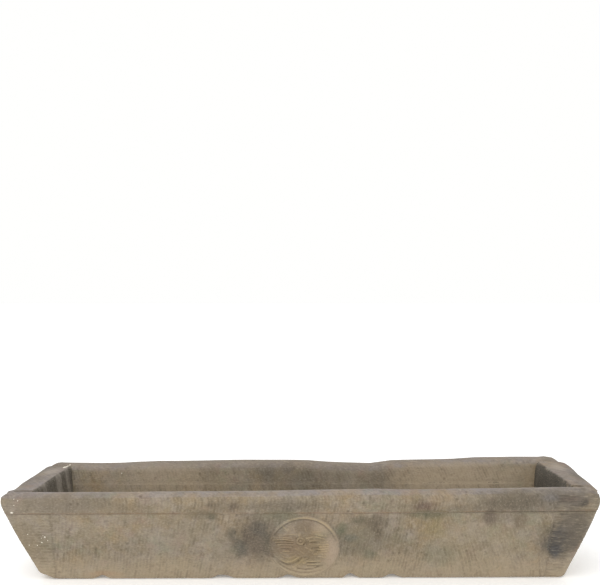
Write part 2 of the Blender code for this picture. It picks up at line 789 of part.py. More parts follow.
def wall_joint_mortar(end, long_side):
    """An upright plate between an end wall's edge and a long wall, stepped over the ledge."""
    place = joint_plate_place(
        end, long_side, JOINT_RECESS, WALL_TOP - SEAT_GAP,
        lambda side, z: ledge_face(side) + JOINT_RECESS,
    )
    plate = shaped_block(f"wall_joint_mortar_{end}_{long_side}", place)
    boolean(plate, MORTAR_HOLLOW)
    boolean(plate, WALL_PIN_HOLES)
    return plate


def coping_joint_mortar(end, long_side):
    """An upright plate between two coping stones, rolled over like the rim."""
    top = rim_height(end, 0 if long_side == "front" else 1) - JOINT_RECESS
    place = joint_plate_place(
        end, long_side, COPING_FOOT + SEAT_GAP, top, lambda side, z: inner(side, z) + JOINT_RECESS
    )
    rounds = {("outer", "top"): SIDES[end].outer_roll, ("inner", "top"): SIDES[end].inner_roll}
    name = f"coping_joint_mortar_{end}_{long_side}"
    return shaped_block(name, place, rounds=rounds)


for old in list(bpy.data.objects):
    bpy.data.objects.remove(old)

PARTS = new_collection("stone_trough_planter")
CUTTERS = new_collection("cutters")

HOLLOW, LONG_HOLLOW = rebate_cutters()
END_SEATS = [end_wall_seat_cutter(name) for name in END_SIDES]
MORTAR_HOLLOW = cutter(
    tapered_block(
        "mortar_hollow", LEDGE_HEIGHT - JOINT_RECESS, HEIGHT + OVERRUN,
        lambda side, z: inner(side, z) + JOINT_RECESS,
    )
)
COPING_PIN_HOLES = pins_and_holes("coping_pin_holes", COPING_PIN_LENGTH, coping_pin_places())
WALL_PIN_HOLES = pins_and_holes("wall_pin_holes", WALL_PIN_LENGTH, wall_pin_places())
MEDALLION_PIN_HOLE = medallion_pin()

part(floor_slab(), STONE_FLOOR)
part(front_wall(), STONE)
part(long_wall("back"), STONE)
for side_name in END_SIDES:
    part(end_wall(side_name), STONE)
    part(end_coping(side_name), STONE_RIM)
for side_name in LONG_SIDES:
    part(long_coping(side_name), STONE_RIM)
part(medallion(), STONE_CARVED)
part(medallion_mortar(), MORTAR)
part(coping_bed_mortar(), MORTAR)
part(floor_bed_mortar(), MORTAR)
for end_name, long_name in CORNERS:
    part(coping_joint_mortar(end_name, long_name), MORTAR)
    part(wall_joint_mortar(end_name, long_name), MORTAR)
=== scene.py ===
# %% [markdown]
# # A long stone trough planter
#
# The imported model gives every stone, pin and bed of mortar its place and size. This script gives
# the stones the surface of old, weathered sandstone: the chisel's furrows, worn arrises, stains
# and lichen. Everything is in metres, with the trough on the ground and its carved front towards
# -Y. The imported model is loaded first.

import math
import random
from functools import partial

import bmesh
import bpy
import numpy as np
from mathutils import Matrix, Vector
from mathutils.bvhtree import BVHTree


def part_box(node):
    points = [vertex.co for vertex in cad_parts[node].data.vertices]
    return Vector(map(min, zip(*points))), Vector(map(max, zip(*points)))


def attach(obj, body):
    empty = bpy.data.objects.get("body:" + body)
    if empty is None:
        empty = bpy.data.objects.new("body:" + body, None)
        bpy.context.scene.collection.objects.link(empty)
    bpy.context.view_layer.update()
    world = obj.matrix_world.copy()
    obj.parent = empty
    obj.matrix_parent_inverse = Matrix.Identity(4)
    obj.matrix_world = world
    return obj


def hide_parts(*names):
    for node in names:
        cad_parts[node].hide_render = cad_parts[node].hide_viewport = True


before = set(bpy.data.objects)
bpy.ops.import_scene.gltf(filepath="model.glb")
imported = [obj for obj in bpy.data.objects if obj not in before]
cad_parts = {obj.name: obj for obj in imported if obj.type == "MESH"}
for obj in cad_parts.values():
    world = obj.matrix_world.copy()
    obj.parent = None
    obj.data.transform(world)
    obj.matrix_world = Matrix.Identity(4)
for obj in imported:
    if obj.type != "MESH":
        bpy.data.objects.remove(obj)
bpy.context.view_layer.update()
MM = 0.001
print("pieces in the packed trough:", len(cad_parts))

# %% [markdown]
# ## One helper for every node
#
# Both the stone's shape and its colour come from node trees. One small function adds a node, sets
# what it is told to set, and joins it to the sockets that feed it, so that a tree reads from top
# to bottom like a recipe. Colours are written as sRGB hex values, as they are measured on a
# screen, and Blender wants them linear, so one function turns them. The trees of Geometry Nodes
# begin and end alike, and so do the materials, so that is written once as well. Both hand back
# that one helper with the new tree filled in, under the name node.


# %% Add a node, turn a colour, and begin and end a tree
MATH, VECTOR_MATH = "ShaderNodeMath", "ShaderNodeVectorMath"
RANGE, NOISE = "ShaderNodeMapRange", "ShaderNodeTexNoise"
SMOOTH = {"interpolation_type": "SMOOTHSTEP"}


def add(tree, kind, feeds=(), operation=None, out=0, **settings):
    """Adds a node and returns one of its outputs. A feed is a value, or an output to link."""
    node = tree.nodes.new(kind)
    if operation:
        node.operation = operation
    for name, value in settings.items():
        setattr(node, name, value)
    for key, value in feeds.items() if isinstance(feeds, dict) else enumerate(feeds):
        if isinstance(value, bpy.types.NodeSocket):
            tree.links.new(value, node.inputs[key])
        else:
            node.inputs[key].default_value = value
    return node.outputs[out] if len(node.outputs) else None


def linear(code):
    """An sRGB hex colour as linear red, green, blue and full alpha."""
    levels = [int(code[place:place + 2], 16) / 255 for place in (1, 3, 5)]
    return (*[v / 12.92 if v <= 0.04045 else ((v + 0.055) / 1.055) ** 2.4 for v in levels], 1)


def geometry_tree(title, kind, sizes):
    """A tree that takes a geometry, sizes of one kind and a material, and what these feed it."""
    tree = bpy.data.node_groups.new(title, "GeometryNodeTree")
    tree.interface.new_socket("Geometry", in_out="INPUT", socket_type="NodeSocketGeometry")
    for name, size in sizes.items():
        tree.interface.new_socket(name, in_out="INPUT", socket_type=kind).default_value = size
    tree.interface.new_socket("Material", in_out="INPUT", socket_type="NodeSocketMaterial")
    tree.interface.new_socket("Geometry", in_out="OUTPUT", socket_type="NodeSocketGeometry")
    return tree, partial(add, tree), add(tree, "NodeGroupInput").node.outputs


def close_tree(node, shape, finish):
    """Makes the tree's shape real, smooth and finished."""
    shape = node("GeometryNodeRealizeInstances", [shape])
    shape = node("GeometryNodeSetShadeSmooth", {"Geometry": shape, "Shade Smooth": True})
    shape = node("GeometryNodeSetMaterial", {"Geometry": shape, "Material": finish})
    node("NodeGroupOutput", {"Geometry": shape})


def empty_material(name):
    """A new material, with nothing in its tree."""
    material = bpy.data.materials.new(name)
    material.use_nodes = True
    material.node_tree.nodes.clear()
    return material, partial(add, material.node_tree)


def close_material(node, feeds):
    """Makes a material's surface of what feeds it."""
    node("ShaderNodeOutputMaterial", [node("ShaderNodeBsdfPrincipled", feeds)])


# %% [markdown]
# ## The trough's own sizes
#
# Each wall leans in towards the ground. A face's distance from the middle at any height follows
# from its reach at the rim and its batter, the mason's word for that lean. Whatever is laid on a
# face uses these two functions, so that it sits on the stone from any side. The medallion's
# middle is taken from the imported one, and its carved face stands a little higher.

# %% Where the faces are
HEIGHT = 0.247
SEAM_HEIGHT = 0.188
MARGIN_LINE = 0.625
MARGIN_LEAN = (0.05, 0.005)  # how both lines lean to the right, and how far left they stand
SIDE_SIZES = {  # reach at the rim, batter outside, width of the rim, batter inside
    "front": (0.1775, 0.0775, 0.050, 0.074), "back": (0.1775, 0.0775, 0.066, 0.074),
    "left": (0.7575, 0.089, 0.080, 0.055), "right": (0.7575, 0.0815, 0.080, 0.055),
}
CORNER_ROUNDS = {
    ("left", "front"): 0.011, ("right", "front"): 0.018,
    ("right", "back"): 0.034, ("left", "back"): 0.016,
}
UP = Vector((0, 0, 1))
WAYS_OUT = {
    "front": Vector((0, -1, 0)), "right": Vector((1, 0, 0)),
    "back": Vector((0, 1, 0)), "left": Vector((-1, 0, 0)),
}
ROUND = tuple(WAYS_OUT)


def outer(side, z):
    """How far a side's outer face is from the middle, at height z."""
    reach, batter, _, _ = SIDE_SIZES[side]
    return reach - batter * (HEIGHT - z) / HEIGHT


def inner(side, z):
    """How far a side's inner face is from the middle, at height z."""
    reach, _, rim, batter = SIDE_SIZES[side]
    return reach - rim - batter * (HEIGHT - z) / HEIGHT


MEDALLION_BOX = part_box("medallion")
MEDALLION_RADII = (89.5 * MM, 91.5 * MM)
MEDALLION_PLAY = 1.0 * MM
MEDALLION_BACK_RADIUS = (MEDALLION_BOX[1].x - MEDALLION_BOX[0].x) / 2 - MEDALLION_PLAY
MEDALLION_EDGE, MEDALLION_THICKNESS = 2.5 * MM, 22 * MM
FRONT_BATTER = SIDE_SIZES["front"][1]
UP_THE_FACE = Vector((0, -FRONT_BATTER / HEIGHT, 1)).normalized()
OUT_OF_THE_FACE = WAYS_OUT["right"].cross(UP_THE_FACE)


def on_front(x, z):
    return Vector((x, -outer("front", z), z))


SOCKET_MIDDLE = on_front((MEDALLION_BOX[1].x + MEDALLION_BOX[0].x) / 2, 91.5 * MM)
MEDALLION_MIDDLE = on_front(4.5 * MM, 94.5 * MM)
front_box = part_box("front_wall")
reaches = (-front_box[0].y, outer("front", front_box[1].z))
print("front wall's reach, from the model and worked out:", [round(reach, 4) for reach in reaches])

# %% [markdown]
# ## The chisel's dressing, as Geometry Nodes
#
# A mason dresses a stone in rows of shallow furrows. Each furrow is a hollow, one stroke long,
# and no two strokes bite alike. The whole face also rolls a little, and weather has eaten small
# pits. This could be sculpted by hand, but a rule covers every stone alike: find the furrow that
# a point lies in, how deep this stroke bit, and push the point in along its normal. Between the
# middle and the margins at both ends the furrows turn: they run down the wall in the middle and
# level outside the scored lines. The furrow's depth is also kept as an attribute, so that the
# material can darken where the chisel went deep, with dirt and with painted shade.

# %% The dressing tree
DRESSING = {
    "Wave depth": 2.0 * MM, "Wave length": 110 * MM, "Furrow depth": 1.3 * MM,
    "Furrow spacing": 8.2 * MM, "Stroke length": 34 * MM, "Slant": 0.45,
    "Patch width": 130 * MM, "Margin line": MARGIN_LINE,
    "Line depth": 0.0, "Pit depth": 1.2 * MM, "Pit spacing": 19 * MM, "Seed": 1.0,
}
SCORED_HALF_WIDTH = 4.0 * MM
BORDER_SIZE, SWING_SIZE, WEAR_SIZE, LOOSE_SIZE = 70 * MM, 100 * MM, 130 * MM, 45 * MM


def dressing_tree():
    tree, node, given = geometry_tree("dressed stone", "NodeSocketFloat", DRESSING)
    place = node("GeometryNodeInputPosition")
    facing = node("GeometryNodeInputNormal")
    x, y, z = node("ShaderNodeSeparateXYZ", [place]).node.outputs
    up = node("ShaderNodeSeparateXYZ", [facing], out=2)
    seeded = node(VECTOR_MATH, [place, given["Seed"]], "ADD")

    # How the strokes run: across them, and along them. Each patch has its own slant.
    along = node(MATH, [x, y], "ADD")
    border = node(NOISE, {"Vector": seeded, "Scale": 1 / BORDER_SIZE})
    patch = node(MATH, [along, given["Patch width"]], "DIVIDE")
    patch = node(MATH, [border, 0.8, patch], "MULTIPLY_ADD")
    patch = node(MATH, [patch], "FLOOR")
    middle = node(MATH, [patch, given["Patch width"]], "MULTIPLY")
    local = node(MATH, [along, middle], "SUBTRACT")
    steeper = node(RANGE, {0: middle, 1: 0.10, 2: 0.30, 3: 0.05, 4: given["Slant"]})
    slant = node("ShaderNodeTexWhiteNoise", {"W": patch}, noise_dimensions="1D")
    slant = node(MATH, [slant, 0.15, steeper], "MULTIPLY_ADD")
    lean = node(MATH, [slant], "SINE")
    upright = node(MATH, [slant], "COSINE")
    steep = node(MATH, [local, upright], "MULTIPLY")
    steep = node(MATH, [z, lean, steep], "MULTIPLY_ADD")
    flat = node(MATH, [along, 0.06, z], "MULTIPLY_ADD")
    distance = node(MATH, [z, -MARGIN_LEAN[0], x], "MULTIPLY_ADD")
    distance = node(MATH, [distance, MARGIN_LEAN[1]], "ADD")
    distance = node(MATH, [distance], "ABSOLUTE")
    level = node(MATH, [distance, given["Margin line"]], "GREATER_THAN")
    flat_place = node(VECTOR_MATH, [place, (1, 1, 0)], "MULTIPLY")
    outside = node(VECTOR_MATH, [facing, flat_place], "DOT_PRODUCT", out="Value")
    outside = node(MATH, [outside, 0], "GREATER_THAN")
    level = node(MATH, [level, outside], "MULTIPLY")
    across = node("ShaderNodeMix", {0: level, 2: steep, 3: flat})
    running = node("ShaderNodeMix", {0: level, 2: z, 3: along})

    # Which furrow, and which stroke of it
    drift = node(NOISE, {"Vector": seeded, "Scale": 1 / SWING_SIZE, "Detail": 1.0})
    drift = node(MATH, [drift, 1.4], "MULTIPLY")
    phase = node(MATH, [across, given["Furrow spacing"]], "DIVIDE")
    phase = node(MATH, [phase, drift], "ADD")
    furrow = node(MATH, [phase], "FLOOR")
    start = node("ShaderNodeTexWhiteNoise", {"W": furrow}, noise_dimensions="1D")
    travel = node(MATH, [running, given["Stroke length"]], "DIVIDE")
    travel = node(MATH, [start, 7.0, travel], "MULTIPLY_ADD")
    stroke = node(MATH, [travel], "FLOOR")
    stroke_place = node("ShaderNodeCombineXYZ", [furrow, stroke, given["Seed"]])
    bite = node("ShaderNodeTexWhiteNoise", {"Vector": stroke_place}, noise_dimensions="3D")

    # The hollow of a furrow: deepest in its middle, running out at the stroke's ends
    hollow = node(MATH, [bite, 0.7, 0.3], "MULTIPLY_ADD")
    for value, power in ((phase, 1.6), (travel, 6.0)):
        share = node(MATH, [value], "FRACT")
        side = node(MATH, [share, 2.0, -1.0], "MULTIPLY_ADD")
        flank = node(MATH, [side], "ABSOLUTE")
        flank = node(MATH, [flank, power], "POWER")
        bowl = node(MATH, [1.0, flank], "SUBTRACT")
        hollow = node(MATH, [hollow, bowl], "MULTIPLY")
    wear = node(NOISE, {"Vector": seeded, "Scale": 1 / WEAR_SIZE, "Detail": 2.0})
    kept = node(RANGE, {0: wear, 1: 0.35, 2: 0.60, 3: 0.25, 4: 1.0})
    trodden = node(RANGE, {0: up, 1: 0.35, 2: 0.8, 3: 1.0, 4: 0.30})
    for share in (kept, trodden):
        hollow = node(MATH, [hollow, share], "MULTIPLY")

    # The scored line at each margin, on the outside only, and only where it has a depth
    off_line = node(MATH, [distance, given["Margin line"]], "SUBTRACT")
    off_line = node(MATH, [off_line], "ABSOLUTE")
    scored = node(RANGE, {0: off_line, 1: 0.0, 2: SCORED_HALF_WIDTH, 3: 1.0, 4: 0.0})
    cut = node(MATH, [given["Line depth"], 0], "GREATER_THAN")
    for share in (outside, cut):
        scored = node(MATH, [scored, share], "MULTIPLY")
    score_depth = node(MATH, [scored, given["Line depth"]], "MULTIPLY")

    # Broad rolling of the face, and pits where grains have fallen out
    wave_scale = node(MATH, [1.0, given["Wave length"]], "DIVIDE")
    roll = node(NOISE, {"Vector": seeded, "Scale": wave_scale, "Detail": 3.0})
    roll = node(MATH, [roll, -0.36], "ADD")
    roll = node(MATH, [roll, given["Wave depth"]], "MULTIPLY")
    pit_scale = node(MATH, [1.0, given["Pit spacing"]], "DIVIDE")
    speck = node("ShaderNodeTexVoronoi", {"Vector": seeded, "Scale": pit_scale})
    pit = node(RANGE, {0: speck, 1: 0.08, 2: 0.32, 3: 1.0, 4: 0.0}, **SMOOTH)
    loose = node(NOISE, {"Vector": seeded, "Scale": 1 / LOOSE_SIZE})
    loose = node(RANGE, {0: loose, 1: 0.5, 2: 0.66})
    pit = node(MATH, [pit, loose], "MULTIPLY")

    # Push every point in along its normal
    depth = node(MATH, [hollow, given["Furrow depth"], roll], "MULTIPLY_ADD")
    depth = node(MATH, [pit, given["Pit depth"], depth], "MULTIPLY_ADD")
    depth = node(MATH, [depth, score_depth], "ADD")
    inwards = node(MATH, [depth, -1.0], "MULTIPLY")
    push = node(VECTOR_MATH, {0: facing, "Scale": inwards}, "SCALE")

    stone = given["Geometry"]
    for name, field in (("tool_marks", hollow), ("scored", scored), ("pitted", pit)):
        feeds = {"Geometry": stone, "Name": name, "Value": field}
        stone = node("GeometryNodeStoreNamedAttribute", feeds, data_type="FLOAT")
    stone = node("GeometryNodeSetPosition", {"Geometry": stone, "Offset": push})
    close_tree(node, stone, given["Material"])
    return tree


DRESSED = dressing_tree()
print("dressing tree:", len(DRESSED.nodes), "nodes")

# %% [markdown]
# ## From a packed stone to a dressed one
#
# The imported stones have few, large faces, and a furrow needs points to bend. Subdividing would
# leave long thin faces. A voxel remesh gives an even skin of small squares, rounds each arris a
# little as weather does, and keeps the stone one closed body. The dressing then moves its points,
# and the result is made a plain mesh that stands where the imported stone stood.

# %% Copy, remesh and dress
WELD = 0.01 * MM
# Where the old stones swell, or have lost an edge: centre, radii and push, all in mm
SETTLEMENT = (
    ((-757, -155, 235), (50, 60, 60), (-2.5, 0, 9)),
    ((-757, -90, 240), (60, 50, 50), (2, 0, -3)),
    ((745, -20, 225), (70, 180, 60), (4.5, 0, 2.5)),
    ((745, -100, 170), (60, 200, 60), (2.5, 0, 0)),
    ((655, 110, 225), (95, 200, 150), (-18, 0, 0)),
    ((-748, 105, 235), (50, 90, 60), (-1.5, 0, 3)),
    ((748, 75, 235), (50, 85, 60), (3, 0, 3.5)),
    ((732, 158, 235), (45, 45, 50), (0, 0, 4.5)),
    ((760, -135, 240), (35, 75, 35), (-2.5, 0, -3.2)),
    ((730, -170, 188), (600, 110, 70), (0, 0, 5)),
    ((-710, 0, 120), (120, 400, 110), (-3.2, 0, 0)),
    ((715, 0, 120), (120, 400, 110), (3.2, 0, 0)),
    # Chips along the foot of the front: place, half-width, and push back and up
    *(((across, -100, 0), (half, 60, 30), (0, back, up)) for across, half, back, up in (
        (-514, 26, 2, 6), (-206, 36, 2, 6.5), (-38, 30, 2, 5), (122, 24, 3, 8), (228, 30, 2, 6),
    )),
)


def new_piece(name, mesh):
    piece = bpy.data.objects.new(name, mesh)
    bpy.context.scene.collection.objects.link(piece)
    return piece


def mesh_from(name, bm):
    """Closes a bmesh into a mesh whose faces point outwards."""
    bmesh.ops.recalc_face_normals(bm, faces=bm.faces)
    mesh = bpy.data.meshes.new(name)
    bm.to_mesh(mesh)
    bm.free()
    return mesh


def stone_copy(node):
    """A copy of a packed stone, with its loose triangles merged into one skin."""
    bm = bmesh.new()
    bm.from_mesh(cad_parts[node].data)
    bmesh.ops.remove_doubles(bm, verts=bm.verts, dist=WELD)
    mesh = bpy.data.meshes.new(node + "_copy")
    bm.to_mesh(mesh)
    bm.free()
    return mesh


def set_inputs(modifier, values):
    """Sets a node tree's named inputs on its modifier, by each socket's identifier."""
    for item in modifier.node_group.interface.items_tree:
        if item.item_type == "SOCKET" and item.in_out == "INPUT" and item.name in values:
            modifier[item.identifier] = values[item.name]


def made_plain(piece):
    """Turns what the modifiers make into the piece's own mesh, and removes them."""
    bpy.context.view_layer.update()
    evaluated = piece.evaluated_get(bpy.context.evaluated_depsgraph_get())
    mesh = bpy.data.meshes.new_from_object(evaluated)
    piece.modifiers.clear()
    piece.data = mesh


def triangles(piece):
    return sum(len(face.vertices) - 2 for face in piece.data.polygons)


def settled(points):
    """Moves points, an array of rows, by the table of swellings and worn places."""
    moved = points.copy()
    for centre, radii, push in SETTLEMENT:
        near = (((points / MM - centre) / radii) ** 2).sum(axis=1)
        moved += np.array(push) * MM * np.clip(1 - near, 0, 1)[:, None] ** 2
    return moved


def settle(piece):
    points = np.empty(len(piece.data.vertices) * 3)
    piece.data.vertices.foreach_get("co", points)
    piece.data.vertices.foreach_set("co", settled(points.reshape(-1, 3)).ravel())
    piece.data.update()


def add_remesh(piece, voxel):
    remesh = piece.modifiers.new("even skin", "REMESH")
    remesh.mode = "VOXEL"
    remesh.voxel_size = voxel


def dress(piece, finish, **changes):
    """Cuts the chisel's furrows into a piece. Changes are to the dressing's named inputs."""
    dressing = piece.modifiers.new("dressing", "NODES")
    dressing.node_group = DRESSED
    values = {key.replace("_", " ").capitalize(): value for key, value in changes.items()}
    set_inputs(dressing, {**values, "Material": finish})
    made_plain(piece)
    print(piece.name, "triangles:", triangles(piece))


def belongs(piece, slot, *nodes):
    """The piece rides on the trough and stands for the nodes, which are hidden. The slot is not
    used.
    """
    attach(piece, "root")
    if nodes:
        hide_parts(*nodes)


# %% [markdown]
# ## Weathered sandstone
#
# The stone is a fine-grained sandstone, split and chiselled, that has stood outdoors for a
# century. What the eye sees, from large to small: broad drifts of ochre and grey, dark stains
# where water ran, patches of lichen, a grey bloom on the rim, dirt and painted shade in the
# furrows, and grains. Some layers are painted light and shade: a pale foot stands for light
# bounced up from the floor, the inner end faces are darkened by damp and by painted shade, dark
# lines of painted shade run along the outer top edges, and the carving's pale crests are partly
# a painted highlight.
# Each is one layer in the tree. All of them read Object coordinates, so that a stain crosses a
# joint from one stone to the next. Sandstone is dull: its roughness is about 0.9.

# %% Layers of colour
# On a long wall's face: place across, height and half-widths across and up, all in mm, then the
# colour and its strength in hundredths
FRONT_STAINS = (
    (640, 108, 50, 64, "#494540", 95),
    (652, 126, 20, 26, "#3f4146", 75),
    (639, 82, 18, 26, "#3f4146", 75),
    (680, 135, 50, 100, "#5a5248", 85),
    (672, 217, 44, 18, "#584c42", 65),
    (650, 228, 70, 24, "#675f57", 60),
    (674, 180, 40, 11, "#5a5146", 65),
    (-116, 114, 82, 94, "#62574a", 95),
    (-105, 143, 22, 28, "#464a47", 32),
    (-154, 90, 20, 24, "#484b45", 45),
    (-175, 132, 12, 22, "#50524a", 35),
    (-88, 110, 14, 34, "#4f4d40", 40),
    (-224, 179, 14, 14, "#46483a", 70),
    (-250, 186, 50, 16, "#6e6450", 60),
    (-168, 208, 14, 13, "#54453e", 60),
    (-222, 209, 14, 12, "#5b4f42", 45),
    (-190, 206, 50, 20, "#6d6253", 55),
    (-56, 184, 55, 22, "#5a5944", 60),
    (-40, 208, 110, 18, "#6c6253", 75),
    (138, 120, 92, 78, "#6f6756", 68),
    (99, 144, 14, 24, "#4e553f", 55),
    (121, 118, 20, 14, "#5c625a", 45),
    (183, 143, 14, 18, "#5a4c3c", 50),
    (190, 120, 14, 16, "#5a4c3c", 45),
    (168, 70, 20, 18, "#5f6552", 35),
    (175, 165, 45, 20, "#5d5242", 60),
    (140, 168, 20, 14, "#55523f", 40),
    (304, 205, 34, 18, "#5a463e", 75),
    (318, 183, 55, 14, "#55543f", 65),
    (400, 200, 70, 14, "#6d6151", 45),
    (440, 100, 150, 80, "#a39479", 28),
    (332, 145, 34, 34, "#857a50", 40),
    (350, 66, 50, 34, "#6f7460", 28),
    (468, 178, 20, 26, "#55463f", 75),
    (545, 165, 20, 28, "#625340", 60),
    (500, 178, 70, 14, "#6d6150", 45),
    (610, 150, 14, 50, "#75694f", 45),
    (-505, 16, 45, 12, "#a88768", 45),
    (-430, 205, 70, 18, "#766750", 45),
    (-590, 214, 140, 34, "#74695a", 80),
    (-690, 110, 60, 90, "#82755f", 65),
    (600, 224, 150, 38, "#6b645b", 70),
    (697, 213, 13, 12, "#3f3a34", 80),
    (662, 225, 30, 11, "#57483e", 60),
    (610, 227, 24, 12, "#74737a", 40),
    (520, 214, 110, 30, "#615748", 85),
)
BACK_STAINS = (
    (-278, 208, 26, 40, "#5b5344", 40),
    (-115, 225, 30, 30, "#4c4946", 45),
    (-54, 230, 26, 24, "#4a484e", 45),
    (-60, 204, 110, 60, "#5c5548", 40),
    (40, 204, 110, 60, "#645b4d", 35),
    (205, 200, 50, 50, "#544c40", 50),
    (140, 232, 60, 14, "#6a6055", 40),
    (450, 200, 240, 60, "#ab9a82", 80),
    (-400, 200, 160, 60, "#a2927b", 60),
)
# On the ends' rims, with painted shade along the outer top edges: centre and radii in mm, colour
# and strength
OTHER_STAINS_AND_EDGE_SHADE = (
    ((-720, 10, 240), (60, 200, 40), "#5c544c", 28),
    ((720, 10, 240), (60, 200, 40), "#5c544c", 32),
    # Painted shade: dark lines along the back rim's far top edge and both ends' outer top edges
    ((0, 182, 240), (3000, 26, 60), "#544e48", 90),
    ((-764, 20, 235), (26, 250, 50), "#4e4842", 90),
    ((768, 20, 235), (28, 250, 50), "#4e4842", 90),
    ((-200, 145, 245), (900, 45, 45), "#786c5d", 75),
    ((-735, -30, 243), (20, 50, 30), "#5a524b", 50),
    ((-705, 50, 243), (20, 40, 30), "#a3988c", 55),
    ((-720, 105, 243), (24, 24, 30), "#5f574f", 45),
    ((735, -40, 243), (26, 40, 30), "#5a524b", 50),
    ((700, 40, 243), (22, 40, 30), "#a39789", 60),
    ((735, 80, 243), (20, 40, 30), "#7a655c", 60),
    ((660, 30, 200), (40, 60, 40), "#45413a", 60),
)
# On the disc: place and half-widths in hundredths of its radii, colour and strength
DISC_TONES = (
    (0, 0, 88, 88, "#7c6b51", 80), (-35, 5, 50, 40, "#77634f", 65),
    (10, -5, 45, 40, "#7d6b52", 50), (0, 62, 40, 25, "#6a5a46", 65),
    (76, -15, 28, 60, "#a6937f", 80), (5, -85, 80, 18, "#a4937a", 75),
    (50, 58, 30, 22, "#a39078", 60), (55, -12, 20, 30, "#9c8867", 45),
    (-20, -45, 35, 14, "#96845f", 45), (-90, 30, 14, 40, "#6a5c4c", 55),
)
# A patch's size, the noise that it starts and is full at, its colour and its strength
BLOTCHES = (
    (0.055, 0.46, 0.66, "#958a80", 0.60), (0.035, 0.50, 0.68, "#6b5f4b", 0.42),
    (0.090, 0.48, 0.68, "#9a8058", 0.45), (0.060, 0.54, 0.72, "#727a62", 0.42),
    (0.045, 0.54, 0.72, "#8a6f64", 0.40), (0.018, 0.52, 0.70, "#a59a88", 0.45),
    (0.012, 0.52, 0.70, "#665a4c", 0.45),
)
DRIFT_SIZE, EDGE_SIZE, GRAIN_SIZE = 160 * MM, 22 * MM, 4.5 * MM
STAIN_THICKNESS = 30 * MM
SCRATCH = (8 * MM, 2.8 * MM)  # a scratch's length and width
SLANT_SIN, SLANT_COS = math.sin(0.49), math.cos(0.49)
SCRATCH_WAYS = ((-SLANT_SIN, -SLANT_SIN, SLANT_COS), (SLANT_COS, SLANT_COS, SLANT_SIN))
SANDSTONE_IOR = 1.54
SAND_TONES = ("#8d8271", "#857861", "#a39988")


def blend(node, under, tone, *shares, how="MIX"):
    """Lays a tone over a colour. How much shows is the product of all the shares."""
    share = shares[0]
    for other in shares[1:]:
        share = node(MATH, [share, other], "MULTIPLY")
    feeds = {0: share, 6: under, 7: linear(tone)}
    return node("ShaderNodeMix", feeds, out=2, data_type="RGBA", blend_type=how)


